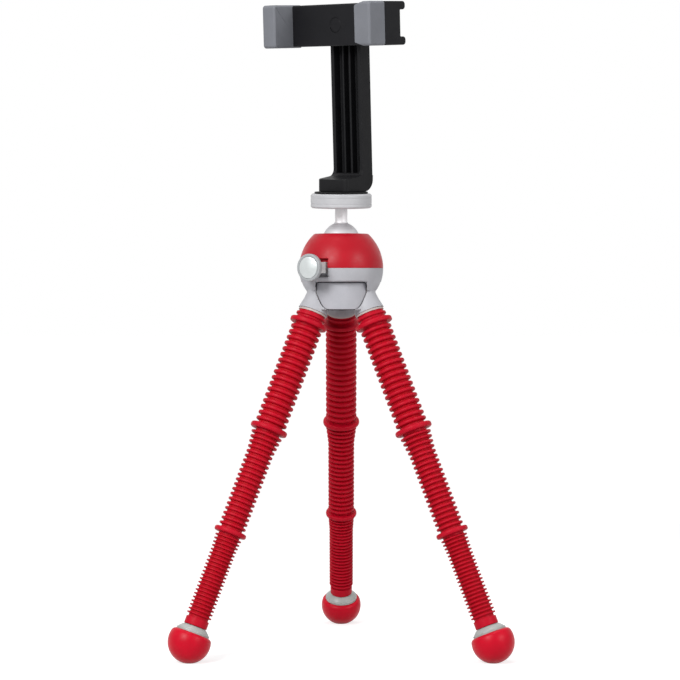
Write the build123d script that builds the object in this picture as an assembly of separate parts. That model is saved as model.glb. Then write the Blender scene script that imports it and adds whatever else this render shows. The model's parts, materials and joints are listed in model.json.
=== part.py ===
from build123d import *
from math import ceil, cos, radians, sin, sqrt
import os

# Flexible leg tripod with a ball head and a spring phone clamp.
# Lengths are millimetres and angles are degrees. +Z is up and the floor is z = 0.
# The origin is on the floor, in the middle of the box that holds the three feet.

# Stance
leg_splay = 23.3
leg_reach = 208.3
leg_azimuths = {"rear": 90, "left": 210, "right": 330}
foot_radius = 10.2
foot_flat_depth = 0.45

# Housing sphere, measured from its centre
hub_radius = 20.5
apex_above_hub = 15.1
split_below_hub = 0.5
dome_top_height = 16.3
dome_top_radius = 13.1
dome_lip = 1.2
dome_bore_radius = 12.5
bowl_end_depth = 11.4
bowl_end_radius = 17.5
neck_radius = 16.9
neck_foot_radius = 16.8
housing_bottom_depth = 20.4
housing_bore_radius = 11.0
housing_floor_depth = 4.2
edge_break = 0.3

# Leg shoulders, with stations measured down each leg's axis from where the axes meet
shoulder_top_station = 30.0
shoulder_top_radius = 5.8
shoulder_rim_station = 39.9
shoulder_rim_radius = 7.3
socket_top_station = 28.6
socket_radius = 5.15
flare_waist_share = 0.33
collar_radius = 6.95
collar_height = 0.95
collar_gap = 0.15
socket_clearance = 0.03

# Side panels between the legs
panel_radius = 18.3
panel_thickness = 1.25
panel_top_depth = 7.5
panel_corner_depth = 11.3
panel_half_width = 12.0
panel_foot_half_width = 6.1
panel_gap = 0.3
panel_seat_gap = 0.05

# Base cover and screws
cover_radius = 8.4
cover_thickness = 1.5
cover_recess = 1.0
cover_rib_height = 1.6
cover_rib_radius = 6.4
screw_circle_radius = 13.9
screw_radius = 1.0
screw_head_radius = 1.9
screw_head_height = 1.4
screw_head_edge = 0.5
screw_tip_height = 4.6
screw_sink = 3.0
screw_head_sink = 0.7
cover_screw_length = 6.0

# Ball head, measured from the ball's centre
ball_above_hub = 12.8
ball_radius = 9.2
ball_clearance = 0.12
ball_opening_step = 2.4
ring_seat_gap = 0.3
ring_clearance = 0.05
seat_radius = 11.9
seat_top_depth = 2.0
seat_bottom_depth = 10.4
seat_boss_radius = 5.6
seat_boss_tip_radius = 2.6
seat_boss_height = 3.0
cushion_radius = 12.3
cushion_wall = 1.25
cushion_gap_width = 6.4
post_radius = 3.0
post_flare = 1.3
platform_bottom = 16.1
platform_height = 7.0
platform_radius = 14.85
platform_edge = 0.7
pad_radius = 13.05
pad_height = 0.9
post_tail = 3.4
stud_radius = 3.175
stud_height = 5.2
stud_base_radius = 5.0
stud_base_height = 2.0
head_lean = 4.0

# Lock knob, measured out along its axis
knob_azimuth = 236.0
knob_below_hub = 0.3
knob_back = 23.6
knob_flange_radius = 6.75
knob_flange_height = 1.5
knob_radius = 6.3
knob_face = 28.3
knob_cap_radius = 5.3
knob_cap_depth = 1.0
knob_cap_crown = 0.7
lock_screw_radius = 1.6
lock_screw_start = 10.6
plunger_radius = 2.1
plunger_tip = 4.1
plunger_end = 14.2
plunger_bore_start = 7.4
lock_thread_pitch = 0.7
lock_turns = 1.5
bush_start = 16.2
bush_end = 23.3
bush_width = 8.4
bush_height = 5.4
bush_step_width = 10.4
bush_step_depth = 1.0
recess_width = 10.6
recess_height = 8.8
recess_floor = 17.6

# Leg sleeve
sleeve_sides = 12
ankle_to_foot = 7.0
first_bulge_share = 0.375
second_bulge_share = 0.7025
root_ring_radius = 7.5
root_ring_height = 1.2
root_neck_radius = 6.5
flange_radius = 9.2
flange_station = 46.3
flange_height = 2.2
bulge_radii = [9.15, 7.9]
bulge_heights = [2.8, 2.5]
ring_ease_share = 0.25
rib_counts = [17, 20, 22]
rib_radii = [7.9, 6.75, 6.15]
valley_radii = [5.95, 5.0, 4.4]
rib_run_gap = 0.8
bore_radii = [5.3, 4.45, 3.8]
rib_crest_share = 0.4
rib_taper_count = 4
ankle_height = 3.7
ankle_lip_radius = 5.6
ankle_foot_radius = 5.15

# Hinged core links inside the sleeve, upper, middle and lower section
eye_radii = [2.6, 2.2, 1.9]
tongue_widths = [2.6, 2.2, 1.9]
fork_widths = [6.4, 5.4, 4.6]
link_pin_radii = [1.1, 0.95, 0.8]
hinge_gap = 0.8
sleeve_clearance = 0.05
link_clearance = 0.1
link_sides = 8
first_joint_station = 46.5

# Foot cap and foot
spigot_radius = 2.6
spigot_depth = 1.0
spigot_clearance = 0.05
cap_neck_radius = 5.3
cap_dish_radius = 7.3
cap_rim_radius = 7.95
cap_neck_height = 1.7
cap_rim_height = 0.8
cap_waist_share = 0.67
foot_top_above_centre = 4.2
foot_edge = 2.0

# Phone arm, measured from the head's axis in the frame that faces the phone
mount_turn = 43.0
arm_width = 19.7
arm_front = 6.9
arm_back = 12.3
arm_thickness = 7.0
arm_gap = 0.1
arm_lean = 2.1
arm_foot_height = 6.0
arm_foot_rise = 1.8
arm_inner_radius = 3.6
arm_heel_radius = 6.0
arm_corner_radius = 2.6
arm_edge = 0.6
arm_pivot_height = 81.0
arm_wall = 2.2
arm_channel_depth = 4.4
arm_channel_start = 12.0
arm_channel_stop = 13.0
arm_rib_thickness = 1.0
arm_rib_offset = 1.5
arm_rib_recess = 1.0
insert_radius = 4.6
insert_height = 5.0
insert_bore_clearance = 0.1

# Phone clamp, measured from its pivot
clamp_gap_left = 28.5
clamp_gap_right = 23.7
bar_depth = 6.4
bar_height = 20.2
bar_clearance = 0.2
bar_edge = 0.8
cover_plate_thickness = 1.4
slider_thickness = 3.0
slider_height = 13.2
slider_clearance = 0.12
slider_inner_end = 16.0
slider_slot_height = 5.2
slider_slot_start = 4.0
jaw_reach = 12.9
jaw_core_thickness = 4.0
jaw_core_height = 17.0
jaw_tip_cover = 1.6
left_jaw_thickness = 8.5
right_jaw_thickness = 10.3
jaw_pad_height = 21.0
jaw_pad_clearance = 0.05
jaw_pad_corner = 1.6
jaw_tip_bevel = 0.8
end_block_front = 1.8
end_block_back = 12.8
end_block_height = 20.8
end_notch_depth = 3.6
end_notch_height = 12.8
end_lip_radius = 1.6
jaw_travel = 33.0
spring_radius = 0.85
spring_wall = 0.35
spring_offset = 8.35
spring_start = 25.5
spring_end = 20.5
pivot_radius = 1.5
pivot_boss_radius = 2.6
pivot_head_radius = 2.3
pivot_cap_radius = 3.7
pivot_cap_height = 1.0
pivot_nut_radius = 3.1
pivot_nut_height = 2.0
pivot_clearance = 0.1

# Values worked out from those above
foot_height = foot_radius - foot_flat_depth
foot_circle = leg_reach * sin(radians(leg_splay))
apex_height = leg_reach * cos(radians(leg_splay)) + foot_height
hub_height = apex_height - apex_above_hub
panel_azimuths = [azimuth + 180 for azimuth in leg_azimuths.values()]
overrun = hub_radius
sleeve_top_station = shoulder_rim_station + collar_gap + collar_height
sleeve_end_station = leg_reach - ankle_to_foot
sleeve_length = sleeve_end_station - sleeve_top_station
bulge_stations = [
    sleeve_top_station + first_bulge_share * sleeve_length,
    sleeve_top_station + second_bulge_share * sleeve_length,
]
joint_stations = [
    first_joint_station,
    (first_joint_station + bulge_stations[0]) / 2,
    bulge_stations[0],
    (bulge_stations[0] + bulge_stations[1]) / 2,
    bulge_stations[1],
    (bulge_stations[1] + sleeve_end_station) / 2,
]
link_barrel_radii = [bore - sleeve_clearance for bore in bore_radii]
link_count = len(joint_stations)
link_sections = [number * len(eye_radii) // link_count for number in range(link_count)]
platform_top = platform_bottom + platform_height
arm_bottom = platform_top + pad_height + arm_gap
plate_middle = arm_back - arm_thickness / 2
bar_front = -(arm_thickness / 2 + bar_clearance + bar_depth)
bar_back = bar_front + bar_depth
jaw_front = bar_front - jaw_reach
lock_travel = lock_thread_pitch * lock_turns
screw_length = housing_bottom_depth - screw_sink + screw_tip_height

# Frames
stand = Pos(0, -foot_circle / 4, hub_height)
ball_frame = Pos(0, 0, ball_above_hub) * Rot(head_lean, 0, 0)
mount_frame = ball_frame * Rot(0, 0, -mount_turn)
plate_frame = mount_frame * Pos(0, plate_middle, arm_bottom) * Rot(arm_lean, 0, 0)
clamp_frame = plate_frame * Pos(0, 0, arm_pivot_height)
knob_frame = Pos(0, 0, -knob_below_hub) * Rot(0, 0, knob_azimuth) * Rot(0, 90, 0)


def leg_frame(azimuth):
    """The frame of a leg: its origin is where the leg axes meet and -Z runs down the leg."""
    return Pos(0, 0, apex_above_hub) * Rot(0, 0, azimuth) * Rot(0, -leg_splay, 0)


def turned(points):
    """A solid of revolution about Z from (radius, height) points of a closed outline."""
    outline = Polyline([(radius, 0, height) for radius, height in points], close=True)
    return revolve(make_face(outline), Axis.Z)


def turned_edges(*edges):
    """A solid of revolution about Z from the edges of a closed outline in the XZ plane."""
    return revolve(make_face(Wire(list(edges))), Axis.Z)


def rod(radius, bottom, top):
    """A cylinder about Z between two heights."""
    stand_up = (Align.CENTER, Align.CENTER, Align.MIN)
    return Pos(0, 0, bottom) * Cylinder(radius, top - bottom, align=stand_up)


def tube(outer, inner, bottom, top):
    """A ring about Z between two heights."""
    return rod(outer, bottom, top) - rod(inner, bottom - overrun, top + overrun)


def block(low, high):
    """A box between two corners."""
    size = [h - l for l, h in zip(low, high)]
    middle = [(l + h) / 2 for l, h in zip(low, high)]
    return Pos(*middle) * Box(*size)


def screw(length):
    """A pan head screw with its head above z = 0."""
    head_shoulder = screw_head_height - screw_head_edge
    return turned(
        [
            (0, -length),
            (screw_radius, -length),
            (screw_radius, 0),
            (screw_head_radius, 0),
            (screw_head_radius, head_shoulder),
            (screw_head_radius - screw_head_edge, screw_head_height),
            (0, screw_head_height),
        ]
    )


def ball_gap_radius(height):
    """The radius that clears the ball at a height from its centre."""
    return sqrt((ball_radius + ball_clearance) ** 2 - height**2)


def ball_opening(bottom, top):
    """Short cones that clear the ball between two heights, both measured from the ball's centre."""
    steps = ceil((top - bottom) / ball_opening_step)
    heights = [bottom + (top - bottom) * step / steps for step in range(steps + 1)]
    wall = [(ball_gap_radius(height), height) for height in heights]
    return Pos(0, 0, ball_above_hub) * turned([(0, bottom), *wall, (0, top)])


# Housing

def panel_outline(grow):
    """The shield outline of a side panel in the XZ plane, grown by a gap."""
    top = -panel_top_depth + grow
    corner = -panel_corner_depth
    foot = -housing_bottom_depth - grow
    wide = panel_half_width + grow
    narrow = panel_foot_half_width + grow
    right = [(wide, top), (wide, corner), (narrow, foot)]
    left = [(-x, z) for x, z in reversed(right)]
    return make_face(Polyline([(x, 0, z) for x, z in right + left], close=True))


def panel_solid(inner, outer, grow):
    """The part of a ring around the housing inside the shield outline at the front."""
    prism = extrude(panel_outline(grow), outer + overrun, dir=(0, -1, 0))
    return tube(outer, inner, -housing_bottom_depth - overrun, 0) & prism


def make_side_panels():
    """Three shield panels, one between each pair of legs."""
    inner = panel_radius - panel_thickness + panel_seat_gap
    panel = panel_solid(inner, panel_radius, 0)
    return [Rot(0, 0, azimuth - 270) * panel for azimuth in panel_azimuths]


def knob_recess():
    """The square recess round the knob's bush and the slot that holds the bush."""
    recess = block(
        (-recess_height / 2, -recess_width / 2, recess_floor),
        (recess_height / 2, recess_width / 2, recess_floor + overrun),
    )
    slot = block(
        (-bush_height / 2, -bush_width / 2, bush_start),
        (bush_height / 2, bush_width / 2, recess_floor + overrun),
    )
    step = block(
        (-bush_height / 2, -bush_step_width / 2, bush_start),
        (bush_height / 2, bush_step_width / 2, bush_start + bush_step_depth),
    )
    return knob_frame * (recess + slot + step + rod(plunger_radius + link_clearance, 0, bush_start))


def assembly_screw_axis(azimuth):
    """The place of an assembly screw's head seat, turned so that the screw points up."""
    seat = -housing_bottom_depth + screw_sink
    return Rot(0, 0, azimuth) * Pos(screw_circle_radius, 0, seat) * Rot(180, 0, 0)


def make_upper_dome():
    """The red upper shell: a dome that stands upright at the split and ends in a flat rim."""
    outer = TangentArc(
        (hub_radius, 0, -split_below_hub), (dome_top_radius, 0, dome_top_height), tangent=(0, 0, 1)
    )
    top = Line((dome_top_radius, 0, dome_top_height), (0, 0, dome_top_height))
    axis = Line((0, 0, dome_top_height), (0, 0, -split_below_hub))
    bottom = Line((0, 0, -split_below_hub), (hub_radius, 0, -split_below_hub))
    shell = turned_edges(outer, top, axis, bottom)
    lip = dome_top_height - dome_lip
    shell -= rod(dome_bore_radius, -overrun, lip)
    shell -= ball_opening(lip - ball_above_hub, dome_top_height - ball_above_hub)
    top_edges = shell.edges().filter_by(GeomType.CIRCLE).sort_by(Axis.Z)[-2:]
    shell = chamfer(top_edges.sort_by(SortBy.RADIUS)[-1:], edge_break)
    for azimuth in panel_azimuths:
        shell -= assembly_screw_axis(azimuth) * rod(screw_radius, -screw_length, 0)
    return shell - knob_recess()


def make_lower_housing():
    """The grey bowl with its neck, its three flared shoulders and the bores for the legs."""
    split = -split_below_hub
    bowl = TangentArc(
        (hub_radius, 0, split), (bowl_end_radius, 0, -bowl_end_depth), tangent=(0, 0, -1)
    )
    inner = Polyline(
        [
            (bowl_end_radius, 0, -bowl_end_depth),
            (neck_radius, 0, -bowl_end_depth),
            (neck_foot_radius, 0, -housing_bottom_depth),
            (0, 0, -housing_bottom_depth),
            (0, 0, split),
            (hub_radius, 0, split),
        ]
    )
    shape = revolve(make_face(Wire([bowl, *inner.edges()])), Axis.Z)
    waist = (shoulder_top_station + shoulder_rim_station) / 2
    waist_radius = shoulder_top_radius + (shoulder_rim_radius - shoulder_top_radius) * flare_waist_share
    shoulder = turned(
        [
            (0, -shoulder_top_station),
            (shoulder_top_radius, -shoulder_top_station),
            (waist_radius, -waist),
            (shoulder_rim_radius, -shoulder_rim_station),
            (0, -shoulder_rim_station),
        ]
    )
    for azimuth in leg_azimuths.values():
        shape += leg_frame(azimuth) * shoulder
    for azimuth in leg_azimuths.values():
        shape -= leg_frame(azimuth) * rod(
            socket_radius + socket_clearance, -shoulder_rim_station - overrun, -socket_top_station
        )
    inner_face = panel_radius - panel_thickness
    groove = panel_solid(inner_face, hub_radius + overrun, panel_gap)
    for azimuth in panel_azimuths:
        shape -= Rot(0, 0, azimuth - 270) * groove
        seat = assembly_screw_axis(azimuth)
        shape -= seat * rod(screw_radius, -screw_length, 0)
        shape -= seat * rod(screw_head_radius + panel_gap, 0, overrun)
    shape -= rod(housing_bore_radius, -housing_floor_depth, 0)
    cover_seat = -housing_bottom_depth + cover_recess
    cover_top = cover_seat + cover_thickness
    shape -= rod(cover_radius + panel_gap, -housing_bottom_depth - overrun, cover_top)
    shape -= rod(cover_rib_radius + panel_gap, -housing_bottom_depth, cover_top + cover_rib_height)
    shape -= rod(screw_radius, cover_seat, cover_seat + cover_screw_length)
    return shape - knob_recess()


def make_base_cover():
    """The round cover that closes the housing from below, with a stiffening rim inside."""
    bottom = -housing_bottom_depth + cover_recess
    plate = rod(cover_radius, bottom, bottom + cover_thickness)
    rim_top = bottom + cover_thickness + cover_rib_height
    rim = tube(cover_rib_radius, cover_rib_radius - cover_thickness, bottom, rim_top)
    plate = plate + rim - rod(screw_radius, bottom - overrun, bottom + overrun)
    sink = rod(screw_head_radius + panel_gap, bottom - overrun, bottom + screw_head_sink)
    return plate - sink


def make_housing_screws():
    """The three screws that pull the dome down on the lower housing."""
    piece = screw(screw_length)
    return [assembly_screw_axis(azimuth) * piece for azimuth in panel_azimuths]


def make_cover_screw():
    """The short screw in the middle of the base cover."""
    seat = -housing_bottom_depth + cover_recess + screw_head_sink
    length = cover_screw_length - screw_head_sink
    return Pos(0, 0, seat) * Rot(180, 0, 0) * screw(length)


# Ball head

def make_friction_ring():
    """The ring under the dome's lip that the ball bears up against."""
    top = dome_top_height - dome_lip
    bottom = ball_above_hub - seat_top_depth + ring_seat_gap
    ring = rod(dome_bore_radius - ring_clearance, bottom, top)
    return ring - ball_opening(bottom - ball_above_hub, top - ball_above_hub)


def make_ball_seat():
    """The cup under the ball, with a cone below that the lock plunger pushes against."""
    top = ball_above_hub - seat_top_depth
    bottom = ball_above_hub - seat_bottom_depth
    boss = bottom - seat_boss_height
    spread = (ball_radius + ball_clearance) * sqrt(2)
    floor = ball_radius + edge_break
    return turned(
        [
            (0, ball_above_hub - floor),
            (spread - floor, ball_above_hub - floor),
            (spread - seat_top_depth, top),
            (seat_radius, top),
            (seat_radius, bottom),
            (seat_boss_radius, bottom),
            (seat_boss_tip_radius, boss),
            (0, boss),
        ]
    )


def make_seat_cushion():
    """The open rubber ring that carries the cup, with a gap for the lock plunger."""
    bottom = -split_below_hub
    top = ball_above_hub - seat_bottom_depth - link_clearance
    ring = tube(cushion_radius, cushion_radius - cushion_wall, bottom, top)
    gap = block((-overrun, -cushion_gap_width / 2, 0), (overrun, cushion_gap_width / 2, overrun))
    return ring - knob_frame * gap


def make_ball_stud():
    """The chromed ball with its post, which flares where it meets the platform."""
    meet = sqrt(ball_radius**2 - (post_radius + post_flare / 2) ** 2)
    tail = platform_bottom + post_tail
    angle = radians(45)
    side = ball_radius * sin(angle)
    ball_arc = ThreePointArc((0, 0, -ball_radius), (side, 0, -side), (ball_radius, 0, 0))
    upper = ThreePointArc((ball_radius, 0, 0), (side, 0, side), (post_radius + post_flare / 2, 0, meet))
    rest = Polyline(
        [
            (post_radius + post_flare / 2, 0, meet),
            (post_radius, 0, meet + post_flare),
            (post_radius, 0, tail),
            (0, 0, tail),
            (0, 0, -ball_radius),
        ]
    )
    profile = make_face(Wire([ball_arc, upper, *rest.edges()]))
    return ball_frame * revolve(profile, Axis.Z)


def make_platform():
    """The round platform on the post, with eased edges."""
    edge = platform_edge
    disc = turned(
        [
            (0, platform_bottom),
            (post_radius + post_flare, platform_bottom),
            (platform_radius - edge, platform_bottom),
            (platform_radius, platform_bottom + edge),
            (platform_radius, platform_top - edge),
            (platform_radius - edge, platform_top),
            (0, platform_top),
        ]
    )
    tail = platform_bottom + post_tail
    disc -= rod(post_radius, platform_bottom - overrun, tail)
    disc -= rod(stud_base_radius, tail, tail + stud_base_height)
    disc -= rod(stud_radius, tail, platform_top + overrun)
    return ball_frame * disc


def make_camera_stud():
    """The quarter inch stud that is moulded into the platform."""
    tail = platform_bottom + post_tail
    base = extrude(RegularPolygon(stud_base_radius, 6), stud_base_height)
    tip = platform_top + stud_height
    stud = Pos(0, 0, tail) * base + rod(stud_radius, tail, tip)
    rim = stud.edges().filter_by(GeomType.CIRCLE).sort_by(Axis.Z)[-1]
    return ball_frame * chamfer(rim, edge_break)


def make_platform_pad():
    """The thin rubber pad on the platform, with a hole for the stud."""
    pad = tube(pad_radius, stud_radius + edge_break, platform_top, platform_top + pad_height)
    rim = pad.edges().filter_by(GeomType.CIRCLE).group_by(Axis.Z)[-1].sort_by(SortBy.RADIUS)[-1]
    return ball_frame * chamfer(rim, edge_break)


# Lock knob

def make_lock_knob():
    """The grey knob: a flange at the back, a drum and a recess for the bright cap."""
    drum = turned(
        [
            (0, knob_back),
            (knob_flange_radius - edge_break, knob_back),
            (knob_flange_radius, knob_back + edge_break),
            (knob_flange_radius, knob_back + knob_flange_height),
            (knob_radius, knob_back + knob_flange_height + edge_break),
            (knob_radius, knob_face - edge_break),
            (knob_radius - edge_break, knob_face),
            (0, knob_face),
        ]
    )
    drum -= rod(knob_cap_radius, knob_face - knob_cap_depth, knob_face + overrun)
    drum -= rod(lock_screw_radius, 0, knob_face)
    return knob_frame * drum


def make_knob_cap():
    """The bright cap with a slightly domed face."""
    seat = knob_face - knob_cap_depth
    crown = knob_face + knob_cap_crown
    radius = knob_cap_radius - link_clearance
    face = TangentArc((0, 0, crown), (radius, 0, knob_face), tangent=(1, 0, 0))
    rest = Polyline([(radius, 0, knob_face), (radius, 0, seat), (0, 0, seat), (0, 0, crown)])
    return knob_frame * revolve(make_face(Wire([face, *rest.edges()])), Axis.Z)


def make_lock_screw():
    """The steel screw fixed in the knob."""
    body = rod(lock_screw_radius, lock_screw_start, knob_face - knob_cap_depth)
    tip = body.edges().filter_by(GeomType.CIRCLE).sort_by(Axis.Z)[0]
    return knob_frame * chamfer(tip, edge_break)


def make_knob_bush():
    """The guide block that the lock screw runs in, stepped so that it can't pull out."""
    body = block(
        (-bush_height / 2, -bush_width / 2, bush_start), (bush_height / 2, bush_width / 2, bush_end)
    )
    body = fillet(body.edges().group_by(Axis.Z)[-1], edge_break)
    step = block(
        (-bush_height / 2, -bush_step_width / 2, bush_start),
        (bush_height / 2, bush_step_width / 2, bush_start + bush_step_depth),
    )
    return knob_frame * (body + step - rod(lock_screw_radius + link_clearance, 0, bush_end + overrun))


def make_lock_plunger():
    """The sliding plunger that the screw drives against the cone of the cup."""
    body = turned(
        [
            (0, plunger_tip),
            (plunger_radius / 2, plunger_tip),
            (plunger_radius, plunger_tip + plunger_radius / 2),
            (plunger_radius, plunger_end),
            (0, plunger_end),
        ]
    )
    bore = rod(lock_screw_radius + link_clearance / 2, plunger_bore_start, plunger_end + overrun)
    return knob_frame * (body - bore)


# Legs

def sleeve_section(start, end, count, crests, valleys):
    """Outline points of a ribbed stretch: crests and valleys shrink over the first ribs."""
    pitch = (end - start) / count
    points = []
    for number in range(count):
        left = max(0, 1 - number / rib_taper_count)
        crest = crests[1] + (crests[0] - crests[1]) * left
        valley = valleys[1] + (valleys[0] - valleys[1]) * left
        foot = start + number * pitch
        middle = foot + pitch / 2
        half = rib_crest_share * pitch / 2
        points += [(valley, foot), (crest, middle - half), (crest, middle + half)]
    return points + [(valleys[1], end)]


def bulge_points(station, radius, height):
    """Outline points of a plain ring that stands out of the ribs."""
    ease = height * ring_ease_share
    return [
        (radius - ease, station - height / 2),
        (radius, station - height / 2 + ease),
        (radius, station + height / 2 - ease),
        (radius - ease, station + height / 2),
    ]


def sleeve_outline():
    """The outline of a leg sleeve as (radius, station) points, from the root to the ankle."""
    ring_top = sleeve_top_station + root_ring_height
    flange_top = flange_station - flange_height / 2
    points = [(root_neck_radius, sleeve_top_station), (root_neck_radius, ring_top)]
    points += [(root_ring_radius, ring_top), (root_ring_radius, ring_top + root_ring_height)]
    points += [(root_neck_radius, ring_top + root_ring_height), (root_neck_radius, flange_top)]
    points += bulge_points(flange_station, flange_radius, flange_height)
    start = flange_station + flange_height / 2
    ends = [station - height / 2 for station, height in zip(bulge_stations, bulge_heights)]
    starts = [start] + [station + height / 2 for station, height in zip(bulge_stations, bulge_heights)]
    ends.append(sleeve_end_station - ankle_height)
    for number, count in enumerate(rib_counts):
        before = max(0, number - 1)
        crests = (rib_radii[before], rib_radii[number])
        valleys = (valley_radii[before], valley_radii[number])
        first = starts[number] + rib_run_gap
        last = ends[number] - rib_run_gap
        points.append((valleys[0], starts[number]))
        points += sleeve_section(first, last, count, crests, valleys)
        points.append((valleys[1], ends[number]))
        if number < len(bulge_stations):
            points += bulge_points(bulge_stations[number], bulge_radii[number], bulge_heights[number])
    return points + [(ankle_lip_radius, ends[-1]), (ankle_foot_radius, sleeve_end_station)]


def bore_outline():
    """The sleeve's bore from the root down: it narrows with the links, above each bulge's hinge."""
    points = [(bore_radii[0], sleeve_top_station)]
    for number, station in enumerate(bulge_stations):
        step = station + eye_radii[number + 1] + hinge_gap - edge_break
        points += [(bore_radii[number], step - edge_break), (bore_radii[number + 1], step)]
    return points + [(bore_radii[-1], sleeve_end_station)]


def make_sleeve():
    """A ribbed rubber sleeve from the root flange to the ankle collar, as a ruled loft."""
    rings = [
        Plane((0, 0, -station)) * RegularPolygon(radius, sleeve_sides)
        for radius, station in sleeve_outline()
    ]
    body = loft(rings, ruled=True)
    bore = bore_outline()
    bore = [(0, bore[0][1] - overrun), (bore[0][0], bore[0][1] - overrun), *bore[1:-1]]
    bore += [(bore_radii[-1], sleeve_end_station + overrun), (0, sleeve_end_station + overrun)]
    return body - turned([(radius, -station) for radius, station in bore])


def barrel(section, start, end):
    """The eight sided body of a core link between two stations."""
    radius = bore_radii[section] - sleeve_clearance
    return Pos(0, 0, -end) * extrude(RegularPolygon(radius, link_sides), end - start)


def hinge_turn(number):
    """Hinges alternate: the odd ones bend a leg in its own plane and the even ones sideways."""
    return Rot(0, 0, 90 * (number % 2))


def eye_block(number, width):
    """An eight sided block across a hinge, as far round as its eye."""
    eye = RegularPolygon(eye_radii[link_sections[number]], link_sides, major_radius=False)
    turn = Pos(0, 0, -joint_stations[number]) * Rot(90, 0, 0)
    return turn * extrude(eye, width / 2, both=True)


def tongue(number, stop):
    """The eye of a hinge and the flat that runs from it down to the body of its link."""
    section = link_sections[number]
    eye = eye_radii[section]
    half = tongue_widths[section] / 2
    flat = block((-eye, -half, -stop), (eye, half, -joint_stations[number]))
    ring = eye_block(number, 2 * half)
    hole = Pos(0, 0, -joint_stations[number]) * Rot(90, 0, 0) * Cylinder(
        link_pin_radii[section] + link_clearance, overrun
    )
    return hinge_turn(number) * (flat + ring - hole)


def fork(number, start):
    """The two cheeks of a hinge with the pin between them, down from the body of its link."""
    section = link_sections[number]
    eye = eye_radii[section]
    half = fork_widths[section] / 2
    gap = tongue_widths[section] / 2 + link_clearance
    station = joint_stations[number]
    cheeks = block((-eye, -half, -station), (eye, half, -start))
    cheeks += eye_block(number, 2 * half)
    cheeks -= block((-overrun, -gap, -station - overrun), (overrun, gap, -start))
    pin = Pos(0, 0, -station) * Rot(90, 0, 0) * Cylinder(link_pin_radii[section], 2 * half)
    return hinge_turn(number) * (cheeks + pin)


def hinge_reach(number):
    """How far the bodies of two links stay from the hinge between them."""
    return eye_radii[link_sections[number]] + hinge_gap


def make_root_socket():
    """The plug in the shoulder: its collar shows above the sleeve and its fork holds the leg."""
    collar_top = shoulder_rim_station + collar_gap
    end = joint_stations[0] - hinge_reach(0)
    body = rod(socket_radius, -collar_top, -socket_top_station)
    body += rod(collar_radius, -sleeve_top_station, -collar_top)
    return body + barrel(0, sleeve_top_station, end) + fork(0, end)


def make_link(number):
    """A core link: an eye above, a body that fills the sleeve's bore, and a fork below."""
    start = joint_stations[number] + hinge_reach(number)
    section = link_sections[number]
    if number + 1 < link_count:
        end = joint_stations[number + 1] - hinge_reach(number + 1)
        return tongue(number, start) + barrel(section, start, end) + fork(number + 1, end)
    spigot = rod(spigot_radius, -leg_reach - spigot_depth, -sleeve_end_station)
    return tongue(number, start) + barrel(section, start, sleeve_end_station) + spigot


def make_foot_cap():
    """The grey dished cap between the ankle and the rubber foot."""
    rim_end = leg_reach - foot_top_above_centre
    rim_start = rim_end - cap_rim_height
    top = rim_start - cap_neck_height
    waist_radius = cap_neck_radius + (cap_dish_radius - cap_neck_radius) * flare_waist_share
    bore = spigot_radius + spigot_clearance
    return turned(
        [
            (bore, -top),
            (cap_neck_radius, -top),
            (waist_radius, -top - cap_neck_height * cap_waist_share),
            (cap_dish_radius, -rim_start),
            (cap_rim_radius, -rim_start - cap_rim_height / 2),
            (cap_rim_radius, -rim_end),
            (bore, -rim_end),
        ]
    )


def make_foot():
    """A rubber ball foot: its top is cut square to the leg and rounded over."""
    top = foot_top_above_centre
    ball = Sphere(foot_radius) - rod(2 * foot_radius, top, 2 * foot_radius)
    rim = ball.edges().filter_by(GeomType.CIRCLE).sort_by(Axis.Z)[-1]
    ball = fillet(rim, foot_edge)
    bore = rod(spigot_radius + spigot_clearance, -spigot_depth - edge_break, foot_radius)
    ball -= bore
    floor = block((-overrun, -overrun, -overrun), (overrun, overrun, -foot_height))
    return Pos(0, 0, -leg_reach) * (ball - Rot(0, leg_splay, 0) * floor)


def leg_pieces():
    """The pieces of one leg in the leg's own frame, by the end of their node names."""
    pieces = {
        "socket": make_root_socket(),
        "sleeve": make_sleeve(),
        "foot_cap": make_foot_cap(),
        "foot": make_foot(),
    }
    for number in range(link_count):
        pieces[f"link_{number + 1}"] = make_link(number)
    return pieces


# Phone arm

def arm_profile():
    """The side outline of the arm's foot in the mount frame, as a face in the YZ plane."""
    bottom = arm_bottom
    top = bottom + arm_foot_height
    points = [
        (-arm_front, bottom),
        (-arm_front, top),
        (arm_back - arm_thickness, top + arm_foot_rise),
        (arm_back, top + arm_foot_rise),
        (arm_back, bottom),
    ]
    return make_face(Polyline([(0, y, z) for y, z in points], close=True))


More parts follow.
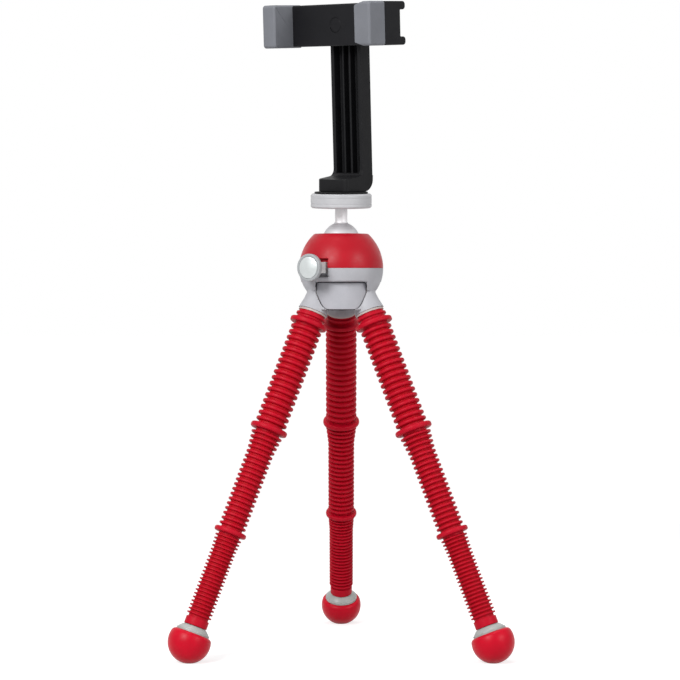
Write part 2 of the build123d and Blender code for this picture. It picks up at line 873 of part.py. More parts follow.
def make_phone_arm():
    """The L shaped arm: a foot on the pad and a leaning plate with deep flutes inside."""
    half = arm_width / 2
    foot = extrude(arm_profile(), half, dir=(1, 0, 0), both=True)
    tip = foot.edges().filter_by(Axis.Z).group_by(Axis.Y)[0]
    foot = fillet(tip, arm_corner_radius)
    plate_bottom = arm_foot_height / 2
    plate = block(
        (-half, -arm_thickness / 2, plate_bottom), (half, arm_thickness / 2, arm_pivot_height)
    )
    crown = Pos(0, 0, arm_pivot_height) * Rot(90, 0, 0) * Cylinder(half, arm_thickness)
    upright = plate + crown
    low = arm_foot_height + arm_foot_rise
    upright += block((-half, -arm_thickness / 2, 0), (half, arm_thickness / 2, low))
    arm = foot + mount_frame.inverse() * plate_frame * upright
    arm -= block((-overrun, -overrun, arm_bottom - overrun), (overrun, overrun, arm_bottom))
    heel = arm.edges().filter_by(Axis.X).sort_by(Axis.Z)[0:4].sort_by(Axis.Y)[-1]
    arm = fillet(heel, arm_heel_radius)
    corner = Vector(0, arm_back - arm_thickness, arm_bottom + low)
    inside = arm.edges().filter_by(Axis.X).sort_by(lambda edge: (edge.center() - corner).length)[0]
    arm = fillet(inside, arm_inner_radius)
    return mount_frame * arm - plate_frame * arm_channels() - arm_holes()


def arm_channels():
    """The three flutes between the side walls and the two inner ribs, in the plate's frame."""
    inner = arm_width / 2 - arm_wall
    bottom = arm_channel_start
    top = arm_pivot_height - arm_channel_stop
    front = -arm_thickness / 2
    floor = front + arm_channel_depth
    cut = block((-inner, front - arm_thickness / 2, bottom), (inner, floor, top))
    cut = fillet(cut.edges().filter_by(Axis.Y), arm_wall)
    for side in (-1, 1):
        middle = side * arm_rib_offset
        half = arm_rib_thickness / 2
        cut -= block((middle - half, front + arm_rib_recess, bottom), (middle + half, floor, top))
    return cut


def arm_holes():
    """The hole for the threaded insert in the foot, and the pivot and nut holes in the plate."""
    insert_top = arm_bottom + insert_height
    foot_hole = rod(insert_radius, arm_bottom - overrun, insert_top)
    foot_hole += rod(stud_radius + insert_bore_clearance, arm_bottom, insert_top + edge_break)
    pivot = clamp_frame * Rot(90, 0, 0) * rod(pivot_radius + pivot_clearance, -overrun, overrun)
    back = arm_thickness / 2
    nut = nut_prism(pivot_nut_radius + pivot_clearance, pivot_nut_height + overrun)
    seat = clamp_frame * Pos(0, back - pivot_nut_height, 0) * Rot(-90, 0, 0) * nut
    return mount_frame * foot_hole + pivot + seat


def nut_prism(radius, height):
    """A hexagonal prism that stands on z = 0."""
    return extrude(RegularPolygon(radius, 6), height)


def make_arm_insert():
    """The threaded brass insert in the arm's foot."""
    bottom = arm_bottom + edge_break
    bore = stud_radius + insert_bore_clearance
    return mount_frame * tube(insert_radius, bore, bottom, arm_bottom + insert_height)


def make_pivot_nut():
    """The nut let into the back of the arm."""
    nut = nut_prism(pivot_nut_radius, pivot_nut_height - edge_break)
    nut -= rod(pivot_radius, -overrun, overrun)
    back = arm_thickness / 2
    return clamp_frame * Pos(0, back - pivot_nut_height, 0) * Rot(-90, 0, 0) * nut


# Phone clamp

def slider_pocket():
    """The space that the slider runs in, open at the left end of the bar."""
    middle = slider_middle()
    half = slider_thickness / 2 + slider_clearance
    tall = slider_height / 2 + slider_clearance
    pocket = block(
        (-clamp_gap_left - overrun, middle - half, -tall),
        (slider_inner_end + slider_thickness / 2, middle + half, tall),
    )
    for side in (-1, 1):
        channel = rod(spring_radius + slider_clearance, -spring_start, spring_end)
        pocket += Pos(0, middle, side * spring_offset) * Rot(0, 90, 0) * channel
    return pocket


def slider_middle():
    """The depth at which the slider runs, midway through the bar behind its front plate."""
    return (bar_front + cover_plate_thickness + bar_back) / 2


def make_clamp_body():
    """The black bar, its end block with the rear notch and the core of the fixed jaw."""
    front = bar_front + cover_plate_thickness
    low = (-clamp_gap_left, front, -bar_height / 2)
    bar = block(low, (clamp_gap_right, bar_back, bar_height / 2))
    right = clamp_gap_right + right_jaw_thickness
    tall = end_block_height / 2
    back = bar_front + end_block_back
    end = block((clamp_gap_right, bar_front - end_block_front, -tall), (right, back, tall))
    notch = block(
        (clamp_gap_right - overrun, back - end_notch_depth, -end_notch_height / 2),
        (right + overrun, back + overrun, end_notch_height / 2),
    )
    end -= notch
    lips = end.edges().filter_by(Axis.X).group_by(Axis.Y)[-1]
    end = fillet(lips, end_lip_radius)
    core_middle = clamp_gap_right + right_jaw_thickness / 2
    core = block(
        (core_middle - jaw_core_thickness / 2, jaw_front + jaw_tip_cover, -jaw_core_height / 2),
        (core_middle + jaw_core_thickness / 2, bar_front, jaw_core_height / 2),
    )
    body = bar + end + core - slider_pocket()
    shaft = Rot(90, 0, 0) * rod(pivot_boss_radius, -bar_back, -front)
    body += shaft & block((-overrun, front, -overrun), (overrun, bar_back, overrun))
    body -= Rot(90, 0, 0) * rod(pivot_radius + pivot_clearance, -overrun, overrun)
    return clamp_frame * body


def make_clamp_cover():
    """The front plate of the bar, with a seat for the pivot cap."""
    top = bar_height / 2
    back = bar_front + cover_plate_thickness
    plate = block((-clamp_gap_left, bar_front, -top), (clamp_gap_right, back, top))
    long_edges = plate.edges().filter_by(Axis.X).group_by(Axis.Y)[0]
    plate = fillet(long_edges, bar_edge)
    seat = rod(pivot_cap_radius, -bar_front - pivot_cap_height, -bar_front + overrun)
    seat += rod(pivot_head_radius + pivot_clearance, 0, -bar_front)
    return clamp_frame * (plate - Rot(90, 0, 0) * seat)


def make_pivot_cap():
    """The round cap over the pivot screw, level with the front of the bar."""
    bottom = -bar_front - pivot_cap_height
    cap = rod(pivot_cap_radius - pivot_clearance, bottom, -bar_front)
    rim = cap.edges().filter_by(GeomType.CIRCLE).sort_by(Axis.Z)[-1]
    return clamp_frame * Rot(90, 0, 0) * chamfer(rim, edge_break)


def make_pivot_screw():
    """The screw that the clamp turns on: its head seats in the bar and it ends in the nut."""
    head_top = -(bar_front + cover_plate_thickness)
    head = rod(pivot_head_radius, head_top, head_top + edge_break)
    shank = rod(pivot_radius, -arm_thickness / 2 + edge_break, head_top)
    return clamp_frame * Rot(90, 0, 0) * (head + shank)


def jaw_pad(low_x, high_x, back, core):
    """A soft boot over a jaw's core, with rounded corners and a bevelled tip."""
    tall = jaw_pad_height / 2
    boot = block((low_x, jaw_front, -tall), (high_x, back, tall))
    boot = fillet(boot.edges().filter_by(Axis.X).group_by(Axis.Y)[0], jaw_pad_corner)
    boot = chamfer(boot.edges().filter_by(Axis.Z).group_by(Axis.Y)[0], jaw_tip_bevel)
    return boot - core


def core_hole(low_x, high_x, back):
    """The hole in a boot that its jaw's core fills."""
    tall = jaw_core_height / 2 + jaw_pad_clearance
    return block(
        (low_x - jaw_pad_clearance, jaw_front + jaw_tip_cover - jaw_pad_clearance, -tall),
        (high_x + jaw_pad_clearance, back + overrun, tall),
    )


def make_fixed_jaw_pad():
    """The soft boot on the fixed jaw."""
    right = clamp_gap_right + right_jaw_thickness
    middle = clamp_gap_right + right_jaw_thickness / 2
    half = jaw_core_thickness / 2
    back = bar_front - end_block_front
    hole = core_hole(middle - half, middle + half, back)
    return clamp_frame * jaw_pad(clamp_gap_right, right, back, hole)


def moving_jaw_core():
    """The x range of the moving jaw's core."""
    middle = -clamp_gap_left - left_jaw_thickness / 2
    return middle - jaw_core_thickness / 2, middle + jaw_core_thickness / 2


def make_jaw_slider():
    """The forked slide and the core of the moving jaw."""
    low_x, high_x = moving_jaw_core()
    middle = slider_middle()
    half = slider_thickness / 2
    tall = slider_height / 2
    reach = jaw_front + jaw_tip_cover
    core = block((low_x, reach, -jaw_core_height / 2), (high_x, bar_back, jaw_core_height / 2))
    slab = block((high_x, middle - half, -tall), (slider_inner_end, middle + half, tall))
    fork = block(
        (-slider_slot_start, middle - overrun, -slider_slot_height / 2),
        (slider_inner_end + overrun, middle + overrun, slider_slot_height / 2),
    )
    return clamp_frame * (core + slab - fork)


def make_moving_jaw_pad():
    """The soft boot on the moving jaw, which also closes the bar's left end."""
    low_x, high_x = moving_jaw_core()
    left = -clamp_gap_left - left_jaw_thickness
    middle = slider_middle()
    half = slider_thickness / 2 + jaw_pad_clearance
    tall = slider_height / 2 + jaw_pad_clearance
    hole = core_hole(low_x, high_x, bar_back)
    hole += block((low_x, middle - half, -tall), (overrun, middle + half, tall))
    return clamp_frame * jaw_pad(left, -clamp_gap_left, bar_back, hole)


def make_jaw_springs():
    """The two return springs beside the slider, drawn as the tubes that their coils fill."""
    springs = []
    for side in (-1, 1):
        bottom = -spring_start + edge_break
        coil = tube(spring_radius, spring_radius - spring_wall, bottom, spring_end - edge_break)
        lane = Pos(0, slider_middle(), side * spring_offset) * Rot(0, 90, 0)
        springs.append(clamp_frame * lane * coil)
    return springs


def all_pieces():
    """Every piece by node name, in the housing's frame."""
    pieces = {
        "upper_dome": make_upper_dome(),
        "lower_housing": make_lower_housing(),
        "side_panels": make_side_panels(),
        "base_cover": make_base_cover(),
        "housing_screws": make_housing_screws(),
        "cover_screw": make_cover_screw(),
        "friction_ring": make_friction_ring(),
        "ball_seat": make_ball_seat(),
        "seat_cushion": make_seat_cushion(),
        "ball_stud": make_ball_stud(),
        "platform": make_platform(),
        "platform_pad": make_platform_pad(),
        "camera_stud": make_camera_stud(),
        "lock_knob": make_lock_knob(),
        "knob_cap": make_knob_cap(),
        "lock_screw": make_lock_screw(),
        "knob_bush": make_knob_bush(),
        "lock_plunger": make_lock_plunger(),
        "phone_arm": make_phone_arm(),
        "arm_insert": make_arm_insert(),
        "pivot_nut": make_pivot_nut(),
        "clamp_body": make_clamp_body(),
        "clamp_cover": make_clamp_cover(),
        "pivot_cap": make_pivot_cap(),
        "pivot_screw": make_pivot_screw(),
        "fixed_jaw_pad": make_fixed_jaw_pad(),
        "jaw_slider": make_jaw_slider(),
        "moving_jaw_pad": make_moving_jaw_pad(),
        "jaw_springs": make_jaw_springs(),
    }
    leg = leg_pieces()
    for name, azimuth in leg_azimuths.items():
        for piece, shape in leg.items():
            pieces[f"leg_{name}_{piece}"] = leg_frame(azimuth) * shape
    return pieces


def main():
    """Write one STEP file for each node."""
    os.makedirs("parts", exist_ok=True)
    for node, shape in all_pieces().items():
        solids = shape if isinstance(shape, list) else [shape]
        placed = [stand * solid for solid in solids]
        whole = placed[0] if len(placed) == 1 else Compound(children=placed)
        export_step(whole, f"parts/{node}.step")


if __name__ == "__main__":
    main()
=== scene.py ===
import json
import logging
from dataclasses import dataclass, field
from enum import Enum
from math import acos, atan2, cos, degrees, hypot, pi, radians, sin, sqrt, tan
from typing import Callable, Iterable, Optional, Sequence, Union

import bmesh
import bpy
from mathutils import Matrix, Vector


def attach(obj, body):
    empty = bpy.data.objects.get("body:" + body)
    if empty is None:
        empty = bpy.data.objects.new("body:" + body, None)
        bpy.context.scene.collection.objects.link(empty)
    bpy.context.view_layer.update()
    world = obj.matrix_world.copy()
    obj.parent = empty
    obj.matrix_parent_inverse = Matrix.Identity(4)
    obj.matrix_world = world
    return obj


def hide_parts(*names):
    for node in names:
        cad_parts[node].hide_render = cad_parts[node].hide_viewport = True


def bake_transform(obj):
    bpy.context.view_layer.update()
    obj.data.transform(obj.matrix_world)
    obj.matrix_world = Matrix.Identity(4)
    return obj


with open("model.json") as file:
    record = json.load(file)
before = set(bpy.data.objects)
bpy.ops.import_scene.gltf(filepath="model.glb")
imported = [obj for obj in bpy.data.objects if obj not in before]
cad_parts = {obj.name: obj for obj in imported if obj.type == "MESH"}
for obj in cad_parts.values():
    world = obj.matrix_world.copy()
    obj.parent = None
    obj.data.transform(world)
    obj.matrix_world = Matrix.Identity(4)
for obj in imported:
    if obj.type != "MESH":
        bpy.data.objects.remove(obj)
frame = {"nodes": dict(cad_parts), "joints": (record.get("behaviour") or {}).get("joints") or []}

log = logging.getLogger("tripod")

MM = 0.001
EASE_STEPS = 2
EASE_ABOVE = 32.0
MIX_INPUTS = (0, 6, 7)
MIX_RESULT = 2
SEEN_RAYS = ("Is Camera Ray", "Is Glossy Ray", "Is Transmission Ray")
Outline = list[tuple[float, float]]
Colour = tuple[float, float, float]
Corner = tuple[float, float, float]
Number = Union[float, "Signal"]


# Small tools for places and meshes

def srgb(red: int, green: int, blue: int) -> Colour:
    """Turn display values from 0 to 255 into linear colour.

    Args:
        red: Red on screen.
        green: Green on screen.
        blue: Blue on screen.

    Returns:
        The linear red, green and blue.
    """
    def linear(value: int) -> float:
        """Linear value of one channel."""
        share = value / 255
        return share / 12.92 if share <= 0.04045 else ((share + 0.055) / 1.055) ** 2.4

    return linear(red), linear(green), linear(blue)


def joint(name: str) -> dict:
    """The record of a joint by its name."""
    return next(entry for entry in frame["joints"] if entry["name"] == name)


def frame_matrix(origin: Vector, x_axis: Vector, z_axis: Vector) -> Matrix:
    """Build a frame from its origin, its X axis and its Z axis.

    Args:
        origin: The frame's origin in metres.
        x_axis: The direction of X, made square to Z here.
        z_axis: The direction of Z.

    Returns:
        The matrix from the local frame, in metres, to the object's frame.
    """
    z = z_axis.normalized()
    x = (x_axis - z * x_axis.dot(z)).normalized()
    y = z.cross(x)
    return Matrix.Translation(origin) @ Matrix((x, y, z)).transposed().to_4x4()


def rounded(points: Sequence[tuple[float, float, float]], steps: int = 5) -> Outline:
    """Round the corners of an outline.

    Args:
        points: Each corner's radius, height and rounding, all in millimetres.
        steps: How many pieces each rounded corner gets.

    Returns:
        The outline's points with every rounded corner drawn out.
    """
    made: Outline = []
    for number, (x, y, size) in enumerate(points):
        if size <= 0:
            made.append((x, y))
            continue
        here = Vector((x, y))
        before = Vector(points[number - 1][:2]) - here
        after = Vector(points[(number + 1) % len(points)][:2]) - here
        half = before.angle(after) / 2
        reach = min(size / tan(half), before.length * 0.49, after.length * 0.49)
        start = here + before.normalized() * reach
        end = here + after.normalized() * reach
        for step in range(steps + 1):
            share = step / steps
            point = start * (1 - share) ** 2 + here * 2 * share * (1 - share) + end * share**2
            made.append((point.x, point.y))
    return made


def arc(centre: tuple[float, float], radius: float, start: float, end: float, steps: int) -> Outline:
    """Points along a circle's arc in an outline.

    Args:
        centre: Radius and height of the arc's centre, in millimetres.
        radius: The arc's own radius.
        start: First angle in degrees, from straight out.
        end: Last angle in degrees.
        steps: Number of stretches.

    Returns:
        The points from the first angle to the last.
    """
    angles = [radians(start + (end - start) * step / steps) for step in range(steps + 1)]
    return [(centre[0] + radius * cos(angle), centre[1] + radius * sin(angle)) for angle in angles]


def lathe(outline: Outline, sides: int = 96) -> bmesh.types.BMesh:
    """Turn a closed outline about Z into a closed mesh.

    Args:
        outline: Radius and height of each point in millimetres, the last joined to the first.
        sides: Number of steps round the axis.

    Returns:
        The mesh in metres.
    """
    mesh = bmesh.new()
    rings: list[list[bmesh.types.BMVert]] = []
    for radius, height in outline:
        if radius < 1e-6:
            rings.append([mesh.verts.new((0, 0, height * MM))])
            continue
        angles = [2 * pi * side / sides for side in range(sides)]
        spots = [(radius * cos(a) * MM, radius * sin(a) * MM, height * MM) for a in angles]
        rings.append([mesh.verts.new(spot) for spot in spots])
    for number, ring in enumerate(rings):
        following = rings[(number + 1) % len(rings)]
        if len(ring) == 1 and len(following) == 1:
            continue
        for side in range(sides):
            after = (side + 1) % sides
            corners = [
                ring[side % len(ring)],
                ring[after % len(ring)],
                following[after % len(following)],
                following[side % len(following)],
            ]
            unique = list(dict.fromkeys(corners))
            if len(unique) > 2:
                mesh.faces.new(unique)
    bmesh.ops.remove_doubles(mesh, verts=mesh.verts, dist=1e-8)
    bmesh.ops.recalc_face_normals(mesh, faces=mesh.faces)
    return mesh


def add_object(name: str, mesh: bpy.types.Mesh) -> bpy.types.Object:
    """Put a mesh in the scene as an object at the origin."""
    made = bpy.data.objects.new(name, mesh)
    bpy.context.scene.collection.objects.link(made)
    return made


def plain_mesh(name: str, built: bmesh.types.BMesh) -> bpy.types.Mesh:
    """Write a built mesh out as a plain one, and free it."""
    mesh = bpy.data.meshes.new(name)
    built.to_mesh(mesh)
    built.free()
    return mesh


def gather(built: bmesh.types.BMesh, parts: Iterable[bpy.types.Mesh]) -> bmesh.types.BMesh:
    """Add plain meshes to a built one, and remove them."""
    for part in parts:
        built.from_mesh(part)
        bpy.data.meshes.remove(part)
    return built


def finish_mesh(
    name: str,
    built: bmesh.types.BMesh,
    place: Optional[Matrix],
    material: bpy.types.Material,
    sharp_above: float = 38.0,
) -> bpy.types.Object:
    """Make a smooth shaded object from a mesh, in its place.

    Args:
        name: The piece's name.
        built: The mesh in metres, freed here.
        place: The matrix that brings it to its place, or None.
        material: Its finish.
        sharp_above: Edges that bend by more than this many degrees stay sharp.

    Returns:
        The object, at the origin and unturned.
    """
    if place is not None:
        bmesh.ops.transform(built, matrix=place, verts=built.verts)
    mesh = plain_mesh(name, built)
    mesh.materials.clear()
    mesh.materials.append(material)
    for face in mesh.polygons:
        face.use_smooth = True
        face.material_index = 0
    mesh.set_sharp_from_angle(angle=radians(sharp_above))
    return add_object(name, mesh)


def prism(outline: Outline, low: float, high: float, place: Matrix) -> bmesh.types.BMesh:
    """Raise an outline to a closed block.

    Args:
        outline: The block's corners in its own XY plane, in millimetres.
        low: Where it starts along its Z.
        high: Where it ends.
        place: The frame that holds it.

    Returns:
        The block in metres, in its place.
    """
    built = bmesh.new()
    floor, roof = [[built.verts.new((x * MM, y * MM, z * MM)) for x, y in outline] for z in (low, high)]
    built.faces.new(floor[::-1])
    built.faces.new(roof)
    for number in range(len(outline)):
        after = (number + 1) % len(outline)
        built.faces.new([floor[number], floor[after], roof[after], roof[number]])
    bmesh.ops.recalc_face_normals(built, faces=built.faces)
    bmesh.ops.transform(built, matrix=place, verts=built.verts)
    return built


def combine(made: bpy.types.Object, tool: bmesh.types.BMesh, operation: str) -> None:
    """Join a closed block to an object or cut it away.

    Args:
        made: The object that changes.
        tool: The block, freed here.
        operation: "UNION" or "DIFFERENCE".
    """
    mesh = plain_mesh("tool", tool)
    holder = add_object("tool", mesh)
    modifier = made.modifiers.new("combine", "BOOLEAN")
    modifier.solver = "EXACT"
    modifier.operation = operation
    modifier.object = holder
    applied(made)
    bpy.data.objects.remove(holder)
    bpy.data.meshes.remove(mesh)


def eased_copy(
    node: str,
    name: str,
    material: bpy.types.Material,
    ease: float,
    carve: Optional[Callable[[bpy.types.Object], None]] = None,
) -> bpy.types.Object:
    """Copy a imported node's mesh, merge it, carve it and ease its edges.

    Args:
        node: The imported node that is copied.
        name: The new piece's name.
        material: Its finish.
        ease: Width of the eased edges in millimetres, or zero for none.
        carve: What cuts finer detail into the copy before its edges are eased.

    Returns:
        The new object, at the origin and unturned.
    """
    built = bmesh.new()
    built.from_mesh(frame["nodes"][node].data)
    bmesh.ops.remove_doubles(built, verts=built.verts, dist=2e-6)
    bmesh.ops.dissolve_degenerate(built, edges=built.edges, dist=1e-6)
    bmesh.ops.dissolve_limit(
        built,
        angle_limit=radians(0.5),
        verts=built.verts,
        edges=built.edges,
        use_dissolve_boundaries=False,
    )
    made = finish_mesh(name, built, None, material)
    if carve is not None:
        carve(made)
    if ease > 0:
        bevel = made.modifiers.new("ease", "BEVEL")
        bevel.width = ease * MM
        bevel.segments = EASE_STEPS
        bevel.limit_method = "ANGLE"
        bevel.angle_limit = radians(EASE_ABOVE)
        bevel.use_clamp_overlap = False
        bevel.miter_outer = "MITER_ARC"
        applied(made)
    weigh = made.modifiers.new("weigh", "WEIGHTED_NORMAL")
    weigh.keep_sharp = True
    return applied(made, None)


def applied(made: bpy.types.Object, sharp_above: Optional[float] = 38.0) -> bpy.types.Object:
    """Turn an object's modifiers into its mesh, and take them off.

    Args:
        made: The object.
        sharp_above: Edges that bend by more degrees are made sharp, or None to keep its normals.

    Returns:
        The same object.
    """
    evaluated = made.evaluated_get(bpy.context.evaluated_depsgraph_get())
    mesh = bpy.data.meshes.new_from_object(evaluated)
    old = made.data
    made.modifiers.clear()
    made.data = mesh
    mesh.name = made.name
    bpy.data.meshes.remove(old)
    if sharp_above is not None:
        for face in mesh.polygons:
            face.use_smooth = True
        mesh.set_sharp_from_angle(angle=radians(sharp_above))
    return made


def paint(nodes: Iterable[str], material: bpy.types.Material) -> None:
    """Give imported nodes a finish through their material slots."""
    for node in nodes:
        thing = frame["nodes"][node]
        if not thing.data.materials:
            thing.data.materials.append(material)
        for slot in thing.material_slots:
            slot.material = material


def seat(piece: bpy.types.Object, body: str, node: str) -> None:
    """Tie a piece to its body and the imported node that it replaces."""
    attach(piece, body)
    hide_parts(node)


def dress(
    node: str,
    name: str,
    body: str,
    finish: bpy.types.Material,
    ease: float,
    carve: Optional[Callable[[bpy.types.Object], None]] = None,
) -> None:
    """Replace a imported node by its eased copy.

    Args:
        node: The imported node.
        name: The piece's name.
        body: The body that it rides on.
        finish: Its material.
        ease: Width of its eased edges in millimetres.
        carve: What cuts finer detail into the copy.
    """
    seat(eased_copy(node, name, finish, ease, carve), body, node)


# Shader sums

class Signal:
    """A shader socket that takes part in Python sums."""

    def __init__(self, bench: "Bench", socket: bpy.types.NodeSocket) -> None:
        """Wrap a socket of a bench's tree."""
        self.bench = bench
        self.socket = socket

    def math(self, operation: str, *others: Number) -> "Signal":
        """Add a Math node that starts from this signal."""
        return self.bench.add("ShaderNodeMath", {"operation": operation}, [self, *others])

    def __add__(self, other: Number) -> "Signal":
        """Sum."""
        return self.math("ADD", other)

    __radd__ = __add__

    def __mul__(self, other: Number) -> "Signal":
        """Product."""
        return self.math("MULTIPLY", other)

    __rmul__ = __mul__

    def __sub__(self, other: Number) -> "Signal":
        """Difference."""
        return self.math("SUBTRACT", other)

    def __rsub__(self, other: float) -> "Signal":
        """Difference from a number."""
        return self.bench.add("ShaderNodeMath", {"operation": "SUBTRACT"}, [other, self])

    def clamped(self) -> "Signal":
        """The signal kept between zero and one."""
        return self.bench.add("ShaderNodeClamp", {}, [self])


class Bench:
    """A shader tree, with one way to add any node."""

    def __init__(self, owner: Union[bpy.types.Material, bpy.types.World]) -> None:
        """Start from the emptied tree of a material or a world."""
        self.owner = owner
        owner.use_nodes = True
        self.tree = owner.node_tree
        self.tree.nodes.clear()

    def add(
        self,
        kind: str,
        settings: Optional[dict] = None,
        values: Union[dict, list, None] = None,
        output: Union[str, int] = 0,
    ) -> Signal:
        """Add a node, with its settings first and its sockets after.

        Args:
            kind: The node's type.
            settings: Its properties.
            values: Numbers, colours or signals by socket name or number, or in socket order.
            output: Which output to hand back.

        Returns:
            The chosen output as a signal.
        """
        node = self.tree.nodes.new(kind)
        for key, value in (settings or {}).items():
            setattr(node, key, value)
        pairs = values.items() if isinstance(values, dict) else enumerate(values or [])
        for key, value in pairs:
            if isinstance(value, Signal):
                self.tree.links.new(value.socket, node.inputs[key])
            else:
                node.inputs[key].default_value = value
        return Signal(self, node.outputs[output])

    def place(self, matrix: Optional[Matrix] = None) -> Signal:
        """Object coordinates, read in a frame of the object's own if one is given."""
        coordinates = self.add("ShaderNodeTexCoord", output="Object")
        if matrix is None:
            return coordinates
        turn = matrix.to_euler("XYZ")
        return self.add(
            "ShaderNodeMapping",
            {"vector_type": "TEXTURE"},
            {"Vector": coordinates, "Location": tuple(matrix.translation), "Rotation": tuple(turn)},
        )

    def noise(self, vector: Signal, size: float, detail: float = 2.0, roughness: float = 0.5) -> Signal:
        """Noise whose features are about as large as a size in millimetres."""
        return self.add(
            "ShaderNodeTexNoise",
            {"noise_dimensions": "3D"},
            {"Vector": vector, "Scale": 1 / (size * MM), "Detail": detail, "Roughness": roughness},
            "Fac",
        )

    def spread(
        self, signal: Signal, low: float, high: float, to_low: float, to_high: float, smooth: bool = False
    ) -> Signal:
        """Map a range of a signal to another range, kept inside it."""
        kind = "SMOOTHSTEP" if smooth else "LINEAR"
        values = {"Value": signal, "From Min": low, "From Max": high, "To Min": to_low, "To Max": to_high}
        return self.add("ShaderNodeMapRange", {"clamp": True, "interpolation_type": kind}, values)

    def blend(self, factor: Number, first: Union[Colour, Signal], second: Union[Colour, Signal]) -> Signal:
        """Mix two colours."""
        ready = [c if isinstance(c, Signal) else (*c, 1.0) for c in (first, second)]
        values = dict(zip(MIX_INPUTS, (factor, *ready)))
        return self.add("ShaderNodeMix", {"data_type": "RGBA"}, values, MIX_RESULT)

    def bump(self, height: Signal, depth: float, onto: Optional[Signal] = None) -> Signal:
        """A normal from a height of zero to one, with a depth in millimetres."""
        values = {"Height": height, "Distance": depth * MM, "Strength": 1.0}
        if onto is not None:
            values["Normal"] = onto
        return self.add("ShaderNodeBump", {}, values)

    def seen(self) -> Signal:
        """One for rays of the camera, gloss and glass, and zero for light on the object."""
        camera, glossy, clear = [self.add("ShaderNodeLightPath", output=kind) for kind in SEEN_RAYS]
        return camera.math("MAXIMUM", glossy).math("MAXIMUM", clear)

    def end(self, surface: Signal, kind: str = "ShaderNodeOutputMaterial") -> bpy.types.ID:
        """Lead a shader to the tree's output, and hand back what owns the tree."""
        output = self.tree.nodes.new(kind)
        self.tree.links.new(surface.socket, output.inputs["Surface"])
        return self.owner

    def close(self, values: dict) -> bpy.types.Material:
        """End the tree in a Principled surface with these sockets."""
        return self.end(self.add("ShaderNodeBsdfPrincipled", {}, values))


# Finishes

class Grain(Enum):
    """How coarse a moulded surface's spark grain is, as a feature size in millimetres."""

    SILKY = 0.10
    FINE = 0.18
    COARSE = 0.32


@dataclass(frozen=True)
class MouldedPlastic:
    """Plastic from a mould: spark grain, a slight drift of tone and handling marks."""

    name: str
    colour: Colour
    roughness: float = 0.45
    grain: Grain = Grain.FINE
    grain_depth: float = 0.012
    drift: float = 0.06
    coat: float = 0.0
    specular: float = 0.35

    def material(self) -> bpy.types.Material:
        """Build the material.

        Returns:
            The finished material.
        """
        bench = Bench(bpy.data.materials.new(self.name))
        place = bench.place()
        tone = bench.noise(place, 9.0, 3.0)
        speck = bench.noise(place, 0.45, 2.0)
        dark = tuple(c * (1 - self.drift) for c in self.colour)
        light = tuple(min(1.0, c * (1 + self.drift)) for c in self.colour)
        colour = bench.blend(bench.spread(tone * 0.7 + speck * 0.3, 0.35, 0.65, 0.0, 1.0), dark, light)
        grain = bench.noise(place, self.grain.value, 3.0, 0.6)
        rub = bench.spread(bench.noise(place, 5.0, 4.0, 0.65), 0.42, 0.62, -0.05, 0.06)
        roughness = (rub + self.roughness + grain * 0.06).clamped()
        normal = bench.bump(grain, self.grain_depth)
        return bench.close(
            {
                "Base Color": colour,
                "Roughness": roughness,
                "Normal": normal,
                "Specular IOR Level": self.specular,
                "Coat Weight": self.coat,
                "Coat Roughness": 0.12,
            }
        )


@dataclass(frozen=True)
class RibbedRubber:
    """Soft rubber skin: a darker tone painted into the grooves as shade, faint lighter patches of dust and
    wear all over, smoother on the crests.
    """

    name: str
    crest: Colour
    groove: Colour
    roughness: float = 0.46

    def material(self) -> bpy.types.Material:
        """Build the material.

        Returns:
            The finished material.
        """
        bench = Bench(bpy.data.materials.new(self.name))
        place = bench.place()
        fin = bench.add("ShaderNodeAttribute", {"attribute_name": "fin"}, output="Fac")
        tone = bench.noise(place, 6.0, 3.0)
        speck = bench.noise(place, 0.3, 2.0)
        worn = tuple(min(1.0, c * 1.15 + 0.006) for c in self.crest)
        # Painted shade: the fin attribute lays the darker groove colour into the grooves, standing in for the
        # shade that falls there.
        base = bench.blend(bench.spread(fin, 0.05, 0.7, 0.0, 1.0, True), self.groove, self.crest)
        base = bench.blend(bench.spread(tone * 0.6 + speck * 0.4, 0.42, 0.68, 0.0, 0.35), base, worn)
        grain = bench.noise(place, 0.14, 3.0, 0.6)
        ripple = bench.noise(place, 1.1, 2.0, 0.5)
        roughness = (bench.spread(fin, 0.0, 1.0, 0.14, 0.0) + self.roughness + (speck - 0.5) * 0.12).clamped()
        fine = bench.bump(grain, 0.012)
        normal = bench.bump(ripple, 0.03, onto=fine)
        return bench.close(
            {"Base Color": base, "Roughness": roughness, "Normal": normal, "Specular IOR Level": 0.13}
        )


@dataclass(frozen=True)
class FootRubber:
    """Rubber ball foot: satin skin, scuffed and dusty low down where it stands."""

    name: str
    colour: Colour
    scuff: Colour
    roughness: float = 0.36

    def material(self) -> bpy.types.Material:
        """Build the material.

        Returns:
            The finished material.
        """
        bench = Bench(bpy.data.materials.new(self.name))
        place = bench.place()
        height = bench.add("ShaderNodeSeparateXYZ", {}, [place], 2)
        low = bench.spread(height, 0.0, 2.4 * MM, 1.0, 0.0, True)
        patches = bench.spread(bench.noise(place, 2.2, 4.0, 0.7), 0.42, 0.64, 0.0, 1.0, True)
        tone = bench.noise(place, 7.0, 2.0)
        deep = tuple(c * 0.9 for c in self.colour)
        base = bench.blend(bench.spread(tone, 0.35, 0.65, 0.0, 1.0), deep, self.colour)
        scuffed = low * (patches * 0.55 + 0.15)
        base = bench.blend(scuffed, base, self.scuff)
        grain = bench.noise(place, 0.16, 3.0, 0.6)
        roughness = (scuffed * 0.3 + self.roughness + (patches - 0.5) * 0.05 + grain * 0.06).clamped()
        normal = bench.bump(grain, 0.01, onto=bench.bump(bench.noise(place, 2.5, 2.0), 0.03))
        return bench.close(
            {"Base Color": base, "Roughness": roughness, "Normal": normal, "Specular IOR Level": 0.16}
        )


